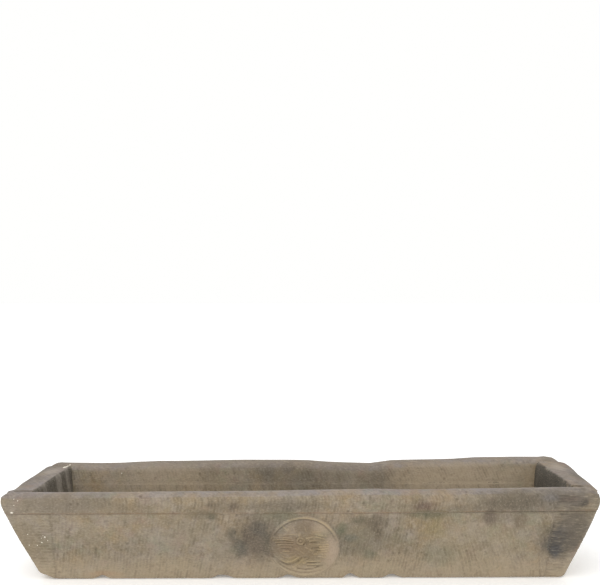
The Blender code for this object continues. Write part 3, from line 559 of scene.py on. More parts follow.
def weathered(name, base, drift, fleck, stains_and_edge_shade, crest=0.0, furrow_dirt_and_shade=0.50):
    """Sandstone: base and drift are its two broad tones, and fleck its pale grains."""
    material, node = empty_material(name)
    place = node("ShaderNodeTexCoord", out="Object")
    facing = node("ShaderNodeTexCoord", out="Normal")
    x, y, z = node("ShaderNodeSeparateXYZ", [place]).node.outputs
    sideways, _, up = node("ShaderNodeSeparateXYZ", [facing]).node.outputs

    # Broad drifts, and the rim's bleached, grey top
    broad = node(NOISE, {"Vector": place, "Scale": 1 / DRIFT_SIZE, "Detail": 4.0, "Roughness": 0.6})
    share = node(RANGE, {0: broad, 1: 0.36, 2: 0.64})
    colour = blend(node, linear(base), drift, share)
    top = node(RANGE, {0: up, 1: 0.25, 2: 0.85}, **SMOOTH)
    high = node(RANGE, {0: z, 1: 0.200, 2: 0.225})
    bleached = node(RANGE, {0: broad, 1: 0.3, 2: 0.7, 3: 0.90, 4: 0.60})
    colour = blend(node, colour, "#847d7d", top, high, bleached)

    # Blotches, each size from another part of the noise
    for size, low, high, tone, strength in BLOTCHES:
        shifted = node(VECTOR_MATH, [place, (size * 40, low, high)], "ADD")
        patch = {"Vector": shifted, "Scale": 1 / size, "Detail": 5.0, "Roughness": 0.65}
        patch = node(NOISE, patch)
        share = node(RANGE, {0: patch, 1: low, 2: high, 4: strength})
        colour = blend(node, colour, tone, share)

    # Pale foot: painted light, standing for light bounced up from the floor
    foot = node(MATH, [broad, -0.10, z], "MULTIPLY_ADD")
    share = node(RANGE, {0: foot, 1: -0.04, 2: 0.04, 3: 0.70, 4: 0.0}, **SMOOTH)
    colour = blend(node, colour, "#a8987f", share)

    # Stains, and dark lines of painted shade along the outer top edges: soft balls in space, with a
    # ragged edge
    ragged = node(NOISE, {"Vector": place, "Scale": 1 / EDGE_SIZE, "Detail": 4.0, "Roughness": 0.7})
    ragged = node(MATH, [ragged, 1.3, -0.65], "MULTIPLY_ADD")
    for centre, radii, tone, strength in stains_and_edge_shade:
        shrink = Vector([1 / radius for radius in radii])
        near = node(VECTOR_MATH, [place, Vector(centre)], "SUBTRACT")
        near = node(VECTOR_MATH, [near, shrink], "MULTIPLY")
        reach = node(VECTOR_MATH, [near], "LENGTH", out="Value")
        reach = node(MATH, [reach, ragged], "ADD")
        share = node(RANGE, {0: reach, 1: 0.25, 2: 1.35, 3: strength, 4: 0.0}, **SMOOTH)
        colour = blend(node, colour, tone, share)

    # The inner end faces nearly black, with damp and with painted shade, as light only grazes them,
    # and pale runs of lime at the left
    outwards = node(VECTOR_MATH, [place, (1, 1, 0)], "MULTIPLY")
    outwards = node(VECTOR_MATH, [facing, outwards], "DOT_PRODUCT", out="Value")
    within = node(RANGE, {0: outwards, 1: -0.28, 2: -0.08, 3: 1.0, 4: 0.0})
    below = node(MATH, [ragged, 0.045, z], "MULTIPLY_ADD")
    below = node(RANGE, {0: below, 1: 0.238, 2: 0.252, 3: 1.0, 4: 0.0})
    at_end = node(MATH, [sideways], "ABSOLUTE")
    at_end = node(RANGE, {0: at_end, 1: 0.4, 2: 0.75, 3: 0.0, 4: 0.97})
    stronger_to_right = node(RANGE, {0: x, 1: -0.1, 2: 0.1, 3: 0.90, 4: 1.0})
    damp_and_shade = (within, below, at_end, stronger_to_right)
    colour = blend(node, colour, "#47423a", *damp_and_shade)
    streak = node(VECTOR_MATH, [place, (34.0, 34.0, 5.0)], "MULTIPLY")
    streak = node(NOISE, {"Vector": streak, "Scale": 1.0, "Detail": 2.0})
    streak = node(MATH, [ragged, 0.12, streak], "MULTIPLY_ADD")
    streak = node(RANGE, {0: streak, 1: 0.45, 2: 0.66, 4: 0.90})
    to_left = node(RANGE, {0: x, 1: -0.1, 2: 0.1, 3: 1.0, 4: 0.15})
    colour = blend(node, colour, "#8f877d", *damp_and_shade, streak, to_left)

    # Darker in the furrows, with dirt and painted shade, darker in the scored lines and the pits,
    # and pale ochre crests where there is carving, partly a painted highlight
    for mark, tone, strength, how in (
        ("tool_marks", "#857b6b", furrow_dirt_and_shade, "MULTIPLY"), ("scored", "#857b6b", 0.30, "MULTIPLY"),
        ("pitted", "#8a8070", 0.50, "MULTIPLY"), ("crest", "#b8a37c", crest, "MIX"),
    ):
        share = node("ShaderNodeAttribute", out="Fac", attribute_name=mark)
        colour = blend(node, colour, tone, share, strength, how=how)

    # Fine scratches of the point chisel: level, but slanting on the front's right part, and
    # longer and bolder in its right margin
    along = node(MATH, [x, y], "ADD")
    slanting = [
        node(VECTOR_MATH, [place, way], "DOT_PRODUCT", out="Value") for way in SCRATCH_WAYS
    ]
    slanting = node("ShaderNodeCombineXYZ", slanting)
    past_line = node(MATH, [x, MARGIN_LINE], "GREATER_THAN")
    outside = node(MATH, [y, -0.10], "LESS_THAN")
    outside = node(MATH, [outside, past_line], "MULTIPLY")
    longer = node(MATH, [outside, -0.60, 1.0], "MULTIPLY_ADD")
    longer = node(MATH, [longer, along], "MULTIPLY")
    level = node("ShaderNodeCombineXYZ", [longer, z])
    to_right = node(MATH, [broad, 0.9, x], "MULTIPLY_ADD")
    to_right = node(MATH, [to_right, 0.55], "GREATER_THAN")
    in_front = node(MATH, [y, 0.0], "LESS_THAN")
    slants = node(MATH, [to_right, in_front], "MULTIPLY")
    slants = node(MATH, [slants, past_line], "SUBTRACT", use_clamp=True)
    scratch = {0: slants, 4: level, 5: slanting}
    scratch = node("ShaderNodeMix", scratch, out=1, data_type="VECTOR")
    scratch = node(VECTOR_MATH, [scratch, (1 / SCRATCH[0], 1 / SCRATCH[1], 0)], "MULTIPLY")
    scratch = node(NOISE, {"Vector": scratch, "Scale": 1.0, "Detail": 3.0, "Roughness": 0.6})
    bolder = node(MATH, [outside, 0.4, 1.0], "MULTIPLY_ADD")
    for low, high, strength, tone in ((0.54, 0.68, 0.22, "#b5a78f"), (0.46, 0.32, 0.24, "#5f5443")):
        share = node(RANGE, {0: scratch, 1: low, 2: high, 4: strength})
        colour = blend(node, colour, tone, share, bolder)

    # Grains, drawn about three times as coarse as they are, so that they show
    grain = node(NOISE, {"Vector": place, "Scale": 1 / GRAIN_SIZE, "Detail": 4.0, "Roughness": 0.7})
    calmer = node(MATH, [past_line, -0.6, 1.0], "MULTIPLY_ADD")
    share = node(RANGE, {0: grain, 1: 0.52, 2: 0.75, 4: 0.35})
    colour = blend(node, colour, fleck, share, calmer)
    share = node(RANGE, {0: grain, 1: 0.46, 2: 0.28, 4: 0.35})
    colour = blend(node, colour, "#584c3a", share)

    rough = node(RANGE, {0: grain, 1: 0.3, 2: 0.7, 3: 0.82, 4: 0.97})
    relief = node(MATH, [grain, scratch], "ADD")
    relief = node("ShaderNodeBump", {"Strength": 0.5, "Distance": 0.8 * MM, "Height": relief})
    feeds = {"Base Color": colour, "Roughness": rough, "Normal": relief, "IOR": SANDSTONE_IOR}
    close_material(node, feeds)
    return material


def stain_places(side, rows):
    """Turns rows of stains on a long wall's face into places in space."""
    face, way = (outer, -1) if side == "front" else (inner, 1)
    for across, height, wide, tall, tone, strength in rows:
        centre = (across * MM, way * face(side, height * MM), height * MM)
        yield centre, (wide * MM, STAIN_THICKNESS, tall * MM), tone, strength / 100


STAINS_AND_EDGE_SHADE = [*stain_places("front", FRONT_STAINS), *stain_places("back", BACK_STAINS)]
for centre, radii, tone, strength in OTHER_STAINS_AND_EDGE_SHADE:
    STAINS_AND_EDGE_SHADE.append((Vector(centre) * MM, Vector(radii) * MM, tone, strength / 100))
DISC_STAINS = []
half_wide, half_tall = MEDALLION_RADII
for u, v, wide, tall, tone, strength in DISC_TONES:
    centre = MEDALLION_MIDDLE + Vector((u / 100 * half_wide, 0, 0))
    centre += UP_THE_FACE * (v / 100 * half_tall)
    radii = (wide / 100 * half_wide, STAIN_THICKNESS, tall / 100 * half_tall)
    DISC_STAINS.append((centre, radii, tone, strength / 100))
SANDSTONE = weathered("weathered_sandstone", *SAND_TONES, STAINS_AND_EDGE_SHADE)
# The carving's crests are painted pale ochre, partly as a painted highlight, and its cuts darker,
# with dirt and painted shade
CARVED = weathered("carved_sandstone", *SAND_TONES, STAINS_AND_EDGE_SHADE + DISC_STAINS, crest=0.60, furrow_dirt_and_shade=0.65)
FLOOR_STONE = weathered("damp_floor_stone", "#6f6450", "#5d5442", "#857a64", ())
POINTING = weathered("sand_pointing", "#7d6a58", "#776652", "#8f816c", STAINS_AND_EDGE_SHADE)
print("stains:", len(STAINS_AND_EDGE_SHADE) + len(DISC_STAINS))

# %% [markdown]
# ## The walls, the floor and the coping
#
# Nine stones go through the same dressing. The coping gets finer voxels, because its rolled edge
# is the nearest thing to the eye, and shallow furrows, because hands and weather have worn it.

# %% Dress the plain stones
DRESSED_STONES = {}
for node, slot, voxel, changes in (
    ("front_wall", "wall_stone", 3.05 * MM, {"line_depth": 0.8 * MM, "seed": 1.0}),
    ("back_wall", "wall_stone", 3.2 * MM, {"seed": 2.0, "slant": 0.05}),
    ("left_end_wall", "wall_stone", 2.8 * MM, {"seed": 3.0}),
    ("right_end_wall", "wall_stone", 2.8 * MM, {"seed": 4.0}),
    ("floor_slab", "floor_stone", 4.0 * MM, {"seed": 5.0, "furrow_depth": 0.4 * MM}),
    ("front_coping", "rim_stone", 2.2 * MM, {"seed": 1.0, "furrow_depth": 0.6 * MM}),
    ("back_coping", "rim_stone", 2.4 * MM, {"seed": 2.0, "slant": 0.05, "furrow_depth": 0.6 * MM}),
    ("left_end_coping", "rim_stone", 2.4 * MM, {"seed": 3.0, "furrow_depth": 0.6 * MM}),
    ("right_end_coping", "rim_stone", 2.4 * MM, {"seed": 4.0, "furrow_depth": 0.6 * MM}),
):
    stone = new_piece(node + "_dressed", stone_copy(node))
    add_remesh(stone, voxel)
    made_plain(stone)
    settle(stone)
    dress(stone, FLOOR_STONE if node == "floor_slab" else SANDSTONE, **changes)
    belongs(stone, slot, node)
    DRESSED_STONES[node] = stone.data

# %% [markdown]
# ## The carved medallion
#
# The medallion is a disc with a worn round bead, and inside it an old, softened carving: a ringed
# boss, a leaf to its right, fans of flutes on both sides, and broad lobes below. Carving takes
# material away, so the field is a height at each point: the highest of many rounded strokes,
# less the lines cut round them. That rule is worked out for all points of a fine round grid at
# once. The grid's rim then goes down to the back, so that the disc stays closed.

# %% Strokes of the carving
# Raised strokes and cut lines: height or depth in mm, then the width and the points of the line
# in hundredths of the disc's radius
RAISED = (
    (1.3, 2.6, (-91, 29), (-62, 31), (-35, 29)),
    (1.6, 2.8, (-88, 22), (-55, 24.5), (-27, 21)),
    (1.3, 2.6, (-80, 15), (-55, 16), (-30, 15)),
    (1.3, 2.6, (-74, 7), (-50, 8), (-32, 7)),
    (1.1, 2.4, (-66, -1), (-50, 0), (-36, -2)),
    (1.7, 3, (-60, -14), (-43, -13.5)),
    (1, 2.4, (-68, -20), (-50, -22), (-30, -20)),
    (1.1, 2.6, (-70, 37), (-50, 39), (-20, 42)),
    (1.3, 6, (-14, 41), (-10, 30)),
    (1, 3, (-58, 66), (-45, 52)),
    (0.9, 3, (-30, 64), (-24, 50)),
    (1, 3, (2, 66), (6, 50)),
    (1.5, 2.8, (24, 48), (47, 48)),
    (1.5, 2.8, (21, 42), (49, 42)),
    (1.7, 3, (6, 28), (25, 33), (45, 30), (60, 24)),
    (1.6, 2.8, (40, 38.5), (62, 34)),
    (1.2, 2.4, (14, 19), (30, 22), (44, 19)),
    (1.2, 2.4, (14, 10), (30, 7), (42, 10)),
    (1.8, 2.8, (46, 14), (66, 17)),
    (1.8, 2.8, (38, 8), (68, 8.5)),
    (1.8, 2.8, (42, 0), (68, 2.5)),
    (1.8, 2.8, (40, -9), (68, -6)),
    (1.8, 2.8, (36, -17), (68, -14)),
    (1.6, 2.8, (28, -23.5), (58, -25)),
    (1.5, 2.8, (40, -32), (60, -35)),
    (1.2, 3, (5, -2), (16, -10), (30, -13)),
    (1, 3, (-25, -5), (-12, -12), (-2, -22)),
    (1.8, 3, (-66, -43), (-53, -50), (-36, -48), (-17, -34)),
    (1.3, 2.8, (-60, -32), (-45, -38), (-25, -29)),
    (1.6, 2.8, (-34, -68), (-17, -55), (-5, -43)),
    (2, 4, (-3, -54), (4, -52)),
    (1.4, 3, (-26, -64), (-16, -63)),
    (1.6, 2.6, (8, -48), (45, -47)),
    (1.6, 2.6, (8, -59), (47, -58)),
    (1.1, 2.6, (5, -68), (30, -67)),
)
CUT = (
    (1.6, 4.4, (-95, -28), (-81, -38), (-68, -50), (-50, -60), (-35, -59), (-20, -49), (-8, -37)),
    (1.4, 2.4, (-3, 24), (0, 16), (-2, 6)),
    (1.2, 2.2, (5, 21), (7, 8)),
    (1.1, 2.2, (11, 18), (11, 9)),
    (1.3, 2.8, (18, 14.5), (30, 15), (44, 14.5)),
    (1, 2.2, (-82, 18.5), (-55, 20), (-30, 18)),
    (1, 2.2, (-78, 11), (-55, 12), (-32, 11)),
    (1, 2.2, (-66, 3), (-34, 2.5)),
    (1, 2.2, (-64, -6), (-38, -7)),
    (1.4, 2.4, (6, -53.5), (42, -53)),
    (1.4, 2.4, (8, -64), (44, -63)),
    (1.8, 3.4, (-20, -72), (0, -76), (20, -74), (50, -62)),
    (1.4, 3, (20, -5), (40, -3)),
    (1.4, 3, (28, -13), (44, -13)),
    (1, 2.4, (-2, -36), (9, -33), (13, -39), (5, -43)),
)
# The boss, and the rings round it: height or depth in mm, radius and half-width
BOSS = (-0.10, 0.19)
BOSS_RAISED = ((1.2, 0.095, 0.035), (1.0, 0.0, 0.035))
BOSS_CUT = ((0.6, 0.145, 0.025), (0.6, 0.055, 0.02))
CROWN_HEIGHT, CROWN_RADIUS = 1.8, 0.86
RAISED_GAIN, CUT_GAIN = 1.5, 1.3
# The bead's radius and half-width, and how high it is left at eight places round it
BEAD = (0.935, 0.036)
BEAD_HEIGHTS = (0.3, 2.4, 2.6, 1.4, 0.0, 1.1, 1.8, 0.6)
GROOVE_DEPTHS = (0.1, 0.9, 0.9, 1.1, 0.5, 0.8, 0.9, 0.1)


def nearness(points, line, width):
    """How near each point is to a line of points: 1 on it, 0 at its width."""
    best = np.full(len(points), np.inf)
    for start, end in zip(line, line[1:]):
        start, way = np.array(start), np.array(end) - np.array(start)
        share = np.clip((points - start) @ way / (way @ way), 0, 1)
        best = np.minimum(best, np.linalg.norm(points - start - share[:, None] * way, axis=1))
    return np.clip(1 - (best / width) ** 2, 0, 1) ** 1.5


def hump(values, middle, half):
    return np.clip(1 - ((values - middle) / half) ** 2, 0, 1)


def around(points, sizes):
    """Blends sizes that are given at even steps round the disc, from its right side on."""
    angle = np.arctan2(points[:, 1], points[:, 0]) / math.tau % 1
    return np.interp(angle, np.linspace(0, 1, len(sizes) + 1), (*sizes, sizes[0]))


def strongest(points, lines, rings):
    """At each point the strongest of many strokes along lines, and of rings round the boss."""
    best = np.zeros(len(points))
    for size, width, *line in lines:
        best = np.maximum(best, size * nearness(points * 100, line, width))
    from_boss = np.linalg.norm(points - np.array(BOSS), axis=1)
    for size, middle, half in rings:
        best = np.maximum(best, size * hump(from_boss, middle, half))
    return best


def carving(points):
    """Height in mm, and shares of raised work and of cuts, at points in shares of the radius."""
    radius = np.linalg.norm(points, axis=1)
    across, up = points.T
    wear = 0.65 + 0.35 * np.sin(13 * across + 2) * np.sin(17 * up + 5 * across)
    crown = CROWN_HEIGHT * np.clip(1 - (radius / CROWN_RADIUS) ** 2, 0, 1)
    raised = RAISED_GAIN * wear * strongest(points, RAISED, BOSS_RAISED)
    cut = CUT_GAIN * wear * strongest(points, CUT, BOSS_CUT)
    middle, half = BEAD
    bead = around(points, BEAD_HEIGHTS)
    ridge = bead * np.sqrt(hump(radius, middle, half))
    crest = np.clip(np.maximum(raised / 3.4, (ridge - 0.8) / 2.8), 0, 1)
    raised = np.maximum(raised, ridge)
    groove = middle + 0.01 - 0.075 * np.clip(bead / 1.5, 0, 1)
    cut = np.maximum(cut, around(points, GROOVE_DEPTHS) * hump(radius, groove, 0.030))
    outside = np.clip((radius - 0.97) / 0.03, 0, 1)
    return crown + raised - cut - outside + 0.4, crest, np.clip(cut / 1.6 + 0.5 * outside, 0, 1)


# %% Carve the disc
RINGS = 96
ROUND_STEPS = 400


def medallion_mesh():
    shares = (np.arange(1, RINGS + 1) / RINGS)[:, None]
    angles = math.tau * np.arange(ROUND_STEPS) / ROUND_STEPS
    points = np.concatenate([
        [(0.0, 0.0)],
        np.stack([shares * np.cos(angles), shares * np.sin(angles)], axis=-1).reshape(-1, 2),
    ])
    heights, raised, cut = carving(points)
    bm = bmesh.new()
    # crest makes the raised work pale ochre, partly a painted highlight; tool_marks darkens the
    # cuts with dirt and painted shade
    layers = [bm.verts.layers.float.new(name) for name in ("crest", "tool_marks")]
    slope = Matrix((WAYS_OUT["right"], UP_THE_FACE, OUT_OF_THE_FACE)).transposed()
    verts = []
    for (across, up), height, *marks in zip(points, heights, raised, cut):
        local = Vector((across * MEDALLION_RADII[0], up * MEDALLION_RADII[1], height * MM))
        vert = bm.verts.new(MEDALLION_MIDDLE + slope @ local)
        for layer, mark in zip(layers, marks):
            vert[layer] = mark
        verts.append(vert)
    rows = [verts[1 + ring * ROUND_STEPS:1 + (ring + 1) * ROUND_STEPS] for ring in range(RINGS)]
    for depth in (MEDALLION_EDGE, MEDALLION_THICKNESS):
        edge = [Vector((*(spot * MEDALLION_BACK_RADIUS), -depth)) for spot in points[-ROUND_STEPS:]]
        rows.append([bm.verts.new(SOCKET_MIDDLE + slope @ place) for place in edge])
    for step in range(ROUND_STEPS):
        after = (step + 1) % ROUND_STEPS
        bm.faces.new((verts[0], rows[0][step], rows[0][after]))
        for low, high in zip(rows, rows[1:]):
            bm.faces.new((low[step], high[step], high[after], low[after]))
    bm.faces.new(rows[-1][::-1])
    return mesh_from("medallion_carved", bm)


disc = new_piece("medallion_carved", medallion_mesh())
disc.data.materials.append(CARVED)
disc.data.shade_smooth()
disc.data.set_sharp_from_angle(angle=math.radians(60))
belongs(disc, "carved_stone", "medallion")
print(disc.name, "triangles:", triangles(disc))

# %% [markdown]
# ## Pointing
#
# The mortar of a joint is finished with a trowel, and that finish is called pointing. On this
# trough it is pressed in nearly flush, and is made with the same sand as the stone, so that from
# a step away a joint is only a fine line. Each line of pointing is a low strip swept along its
# joint. Its width wavers, because the trowel left it wherever the arrises are worn.

# %% Sweep the pointing
POINTING_SET_BACK = 0.7 * MM
SECTION = ((-1.0, -0.6), (-0.6, 0.0), (0.6, 0.0), (1.0, -0.6), (0.6, -3.0), (-0.6, -3.0))
SEAM_STEP, CORNER_STEPS, RING_STEPS, JOINT_STEPS = 6 * MM, 5, 180, 30
JOINT_END = 2 * MM
SEAM_HALF_WIDTH, RING_HALF_WIDTH, JOINT_HALF_WIDTH = 2.4 * MM, 3.2 * MM, 3.6 * MM
RING_RADIUS = MEDALLION_BACK_RADIUS + 2.4 * MM


def mortar_piece(name, rows, ring=False, finish=SANDSTONE):
    """A closed skin through rows of points, as a piece of mortar."""
    bm = bmesh.new()
    rows = [[bm.verts.new(point) for point in row] for row in rows]
    for row, after in zip(rows, rows[1:] + rows[:1] if ring else rows[1:]):
        for step in range(len(row)):
            over = (step + 1) % len(row)
            bm.faces.new((row[step], row[over], after[over], after[step]))
    if not ring:
        bm.faces.new(rows[0])
        bm.faces.new(rows[-1])
    piece = new_piece(name, mesh_from(name, bm))
    piece.data.materials.append(finish)
    piece.data.shade_smooth()
    belongs(piece, "lime_mortar")
    print(name, "triangles:", triangles(piece))


def swept_strip(name, stations, half_width, seed, **settings):
    """A strip along stations, each a point on the face, the way out and the way across."""
    waver = random.Random(seed)
    rows = []
    width = half_width
    for point, out, across in stations:
        width = 0.8 * width + 0.2 * half_width * waver.uniform(0.6, 1.4)
        back = POINTING_SET_BACK * waver.uniform(0.7, 1.3)
        rows.append([
            point + across * (side * width) + out * (depth * MM - back) for side, depth in SECTION
        ])
    mortar_piece(name, rows, **settings)


def corner_round(one, other):
    return CORNER_ROUNDS.get((one, other)) or CORNER_ROUNDS[other, one]


def seam_stations():
    """Stations round the outside of the seam, with an arc at each corner."""
    stations = []
    for side, following in zip(ROUND, ROUND[1:] + ROUND[:1]):
        before = ROUND[ROUND.index(side) - 1]
        out, along = WAYS_OUT[side], WAYS_OUT[following]
        last = corner_round(side, following)
        start = corner_round(side, before) - outer(before, SEAM_HEIGHT)
        end = outer(following, SEAM_HEIGHT) - last
        distance = outer(side, SEAM_HEIGHT)
        count = max(2, round((end - start) / SEAM_STEP))
        for step in range(count + 1):
            place = start + (end - start) * step / count
            stations.append((out * distance + along * place, out))
        middle = out * (distance - last) + along * end
        for step in range(1, CORNER_STEPS):
            turn = math.radians(90) * step / CORNER_STEPS
            way = out * math.cos(turn) + along * math.sin(turn)
            stations.append((middle + way * last, way))
    for point, out in stations:
        lean = (UP + out * FRONT_BATTER / HEIGHT).normalized()
        facing = (out - UP * FRONT_BATTER / HEIGHT).normalized()
        yield Vector(settled(np.array([point + UP * SEAM_HEIGHT]))[0]), facing, lean


def ring_stations():
    """Stations round the medallion, in its open joint."""
    for step in range(RING_STEPS):
        turn = math.tau * step / RING_STEPS
        way = WAYS_OUT["right"] * math.cos(turn) + UP_THE_FACE * math.sin(turn)
        yield SOCKET_MIDDLE + way * RING_RADIUS, OUT_OF_THE_FACE, way


def wall_joint_stations(end, side):
    """Stations up the joint between an end wall and a long wall."""
    out, way = WAYS_OUT[end], WAYS_OUT[side]
    facing = (out - UP * SIDE_SIZES[end][1] / HEIGHT).normalized()
    for step in range(JOINT_STEPS + 1):
        z = JOINT_END + (SEAM_HEIGHT - 2 * JOINT_END) * step / JOINT_STEPS
        place = out * outer(end, z) + way * (inner(side, z) - 0.5 * MM) + UP * z
        yield Vector(settled(np.array([place]))[0]), facing, way


for end, side in CORNER_ROUNDS:
    stations = wall_joint_stations(end, side)
    swept_strip(f"wall_pointing_{end}_{side}", stations, JOINT_HALF_WIDTH, 14)
swept_strip(
    "seam_pointing_outside", seam_stations(), SEAM_HALF_WIDTH, 11, ring=True, finish=POINTING
)
swept_strip("medallion_pointing", ring_stations(), RING_HALF_WIDTH, 13, ring=True)

# %% [markdown]
# ## Smears of mortar
#
# At the four corners a coping stone butts against the next, and the two are worn to different
# heights. The mortar there is smeared over the open joint, up the outer face and over the top.
# Inside the trough the seam under the coping is smeared over too. To lay such a smear on the
# stones as they are, the script feels for their surfaces with rays. A smear follows the stones,
# but it can't fall more steeply than a trowel leaves it, so that it fills the joint and makes a
# ramp of a step. Its edges sink into the stones.

# %% Smear the joints
SMEAR_ROWS = 17
SMEAR_LIFT, SMEAR_SINK = 0.3 * MM, 1.5 * MM
SMEAR_THICKNESS = 7 * MM
# At the corners: half-width, slope, how far out the rays start, the joint's place off the line of
# the inner faces, the heights that these are taken at, and the pivot that the smear turns about
CORNER_HALF, CORNER_SLOPE, CORNER_FAR = 24 * MM, 0.40, 0.3
CORNER_OFF, COPING_HEIGHT, TOP_HEIGHT = 1.1 * MM, 0.215, 0.240
PIVOT_IN, PIVOT_HEIGHT = 50 * MM, 0.192
TURN_STEPS, TOP_STEPS = 24, 12
# Along the inner seam: the same, how far past the corners it goes, and its base inside the stone
SEAM_HALF, SEAM_SLOPE, SEAM_FAR = 11 * MM, 0.15, 0.1
SEAM_PAST, SEAM_IN, SEAM_SMEAR_STEP = 8 * MM, 30 * MM, 4 * MM


def surface_tree(mesh):
    """A search tree of a mesh, for rays."""
    bm = bmesh.new()
    bm.from_mesh(mesh)
    tree = BVHTree.FromBMesh(bm)
    bm.free()
    return tree


SURFACES = {node: surface_tree(mesh) for node, mesh in DRESSED_STONES.items()}


def felt_heights(nodes, pivot, way, out, asides, far):
    """How far out the stones' surface is, at places to both sides of the joint."""
    heights = []
    for aside in asides:
        start = pivot + way * aside + out * far
        hits = [SURFACES[node].ray_cast(start, -out, far)[3] for node in nodes]
        heights.append(max([far - hit for hit in hits if hit is not None], default=0))
    return np.array(heights)


def smear(name, nodes, way, stations, half, slope, far):
    """Mortar over a joint. Stations are pivots in the stone, each with its way out."""
    asides = np.linspace(-half, half, SMEAR_ROWS)
    between = np.abs(asides[:, None] - asides[None, :])
    sink = SMEAR_LIFT - SMEAR_SINK * (asides / half) ** 2
    rows = []
    for pivot, out in stations:
        felt = felt_heights(nodes, pivot, way, out, asides, far)
        heights = (felt[None, :] - slope * between).max(axis=1) + sink
        row = [pivot + way * aside + out * height for aside, height in zip(asides, heights)]
        rows.append(row + [row[-1] - out * SMEAR_THICKNESS, row[0] - out * SMEAR_THICKNESS])
    mortar_piece(name, rows)


for end, side in CORNER_ROUNDS:
    way, end_way = WAYS_OUT[side], WAYS_OUT[end]
    joint = way * (inner(side, COPING_HEIGHT) - CORNER_OFF) + UP * PIVOT_HEIGHT
    reach, near = SIDE_SIZES[end][0] - PIVOT_IN, inner(end, TOP_HEIGHT)
    stations = []
    for step in range(TURN_STEPS):
        turn = math.radians(90) * step / TURN_STEPS
        stations.append((end_way * reach + joint, end_way * math.cos(turn) + UP * math.sin(turn)))
    for step in range(TOP_STEPS):
        stations.append((end_way * (reach - (reach - near) * step / TOP_STEPS) + joint, UP))
    copings = (end + "_end_coping", side + "_coping")
    name = f"corner_fillet_{end}_{side}"
    smear(name, copings, way, stations, CORNER_HALF, CORNER_SLOPE, CORNER_FAR)
for side, along, following in (
    ("front", "left", "right"), ("back", "left", "right"),
    ("left", "front", "back"), ("right", "front", "back"),
):
    out, way = WAYS_OUT[side], WAYS_OUT[following]
    start = -inner(along, SEAM_HEIGHT) - SEAM_PAST
    length = inner(following, SEAM_HEIGHT) + SEAM_PAST - start
    count = round(length / SEAM_SMEAR_STEP)
    base = out * (inner(side, SEAM_HEIGHT) + SEAM_IN) + UP * SEAM_HEIGHT + way * start
    stations = [(base + way * (length * step / count), -out) for step in range(count + 1)]
    stone = side + "_end" if side in ("left", "right") else side
    stones = (stone + "_wall", stone + "_coping")
    up_the_face = (UP + out * SIDE_SIZES[side][3] / HEIGHT).normalized()
    name = "seam_smear_" + side
    smear(name, stones, up_the_face, stations, SEAM_HALF, SEAM_SLOPE, SEAM_FAR)

# %% [markdown]
# ## Mortar and iron
#
# The joints are filled with lime mortar, raked back a millimetre. It is made of lime and the same
# sand as the stone, so it is hardly paler. The pins are wrought iron, rusted where they meet the
# lime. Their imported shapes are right, so they only get finishes.


# %% Lime mortar and rusted iron
def speckled(name, low_tone, high_tone, size, roughness, metallic=0.0):
    """Two tones in grains of one size, with a fine bump."""
    material, node = empty_material(name)
    place = node("ShaderNodeTexCoord", out="Object")
    grain = node(NOISE, {"Vector": place, "Scale": 1 / size, "Detail": 5.0, "Roughness": 0.7})
    share = node(RANGE, {0: grain, 1: 0.35, 2: 0.65})
    relief = node("ShaderNodeBump", {"Strength": 0.5, "Distance": 0.4 * MM, "Height": grain})
    close_material(node, {
        "Base Color": blend(node, linear(low_tone), high_tone, share), "Normal": relief,
        "Roughness": roughness, "Metallic": metallic,
    })
    return material


LIME_MORTAR = speckled("lime_mortar", "#6a604f", "#857b69", 0.006, 0.95)
WHITE_LIME = speckled("white_lime", "#cfc8b8", "#ece6d8", 0.002, 0.9)
RUSTED_IRON = speckled("rusted_wrought_iron", "#3a2216", "#6b3d22", 0.004, 0.75, 0.5)
for node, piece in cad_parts.items():
    if "mortar" in node or "pin" in node:
        piece.data.materials.clear()
        piece.data.materials.append(LIME_MORTAR if "mortar" in node else RUSTED_IRON)

# %% [markdown]
# ## Splashes of lime
#
# Lime and bird droppings have left small white crusts near the left end and in its back corner.
# Each is a flattened, lumpy bead, so Geometry Nodes put one small ball on each of a few points
# and give every one its own size and turn.

# %% Scatter the lime
# On the front: place across, height and size, in mm
SPLASHES = (
    (-714.4, 191.5, 6), (-711, 191.5, 4), (-695.9, 222.5, 3.6), (-705, 211.5, 2.4),
    (-641.7, 123, 3.8), (-651.3, 108, 4.2), (-651, 120, 2), (-636, 113, 2.2),
    (-683.3, 131, 2.8), (-683.5, 100.5, 2.8), (-663.4, 99.5, 3), (-706, 226, 2.2),
    (-646, 127, 1.8),
)
CRUSTS = 22  # small crusts over the joint of the rim at the left back corner


def splash_tree():
    """Puts a lumpy bead of its own size on every point."""
    tree, node, given = geometry_tree("lime splashes", "NodeSocketInt", {"Seed": 5})
    size = node("GeometryNodeInputNamedAttribute", {"Name": "size"}, data_type="FLOAT")
    squash, turn = [
        node(
            "FunctionNodeRandomValue", {"Min": low, "Max": high, "Seed": given["Seed"]},
            data_type="FLOAT_VECTOR",
        )
        for low, high in (((0.7, 0.6, 0.5), (1.3, 1.1, 1.0)), ((0.0, 0.0, 0.0), (6.28, 6.28, 6.28)))
    ]
    scale = node(VECTOR_MATH, {0: squash, "Scale": size}, "SCALE")
    ball = node("GeometryNodeMeshIcoSphere", {"Radius": 0.5, "Subdivisions": 2})
    beads = {"Points": given["Geometry"], "Instance": ball, "Rotation": turn, "Scale": scale}
    beads = node("GeometryNodeInstanceOnPoints", beads)
    close_tree(node, beads, given["Material"])
    return tree


def landed(start, way, *nodes):
    """Where a splash that flies a way lands on the dressed stones."""
    hits = [SURFACES[node].ray_cast(start, way) for node in nodes]
    return min([hit for hit in hits if hit[0] is not None], key=lambda hit: hit[3])[0]


points = []
for across, height, size in SPLASHES:
    start = Vector((across, -500, height)) * MM
    points.append((landed(start, WAYS_OUT["back"], "front_wall", "front_coping"), size * MM))
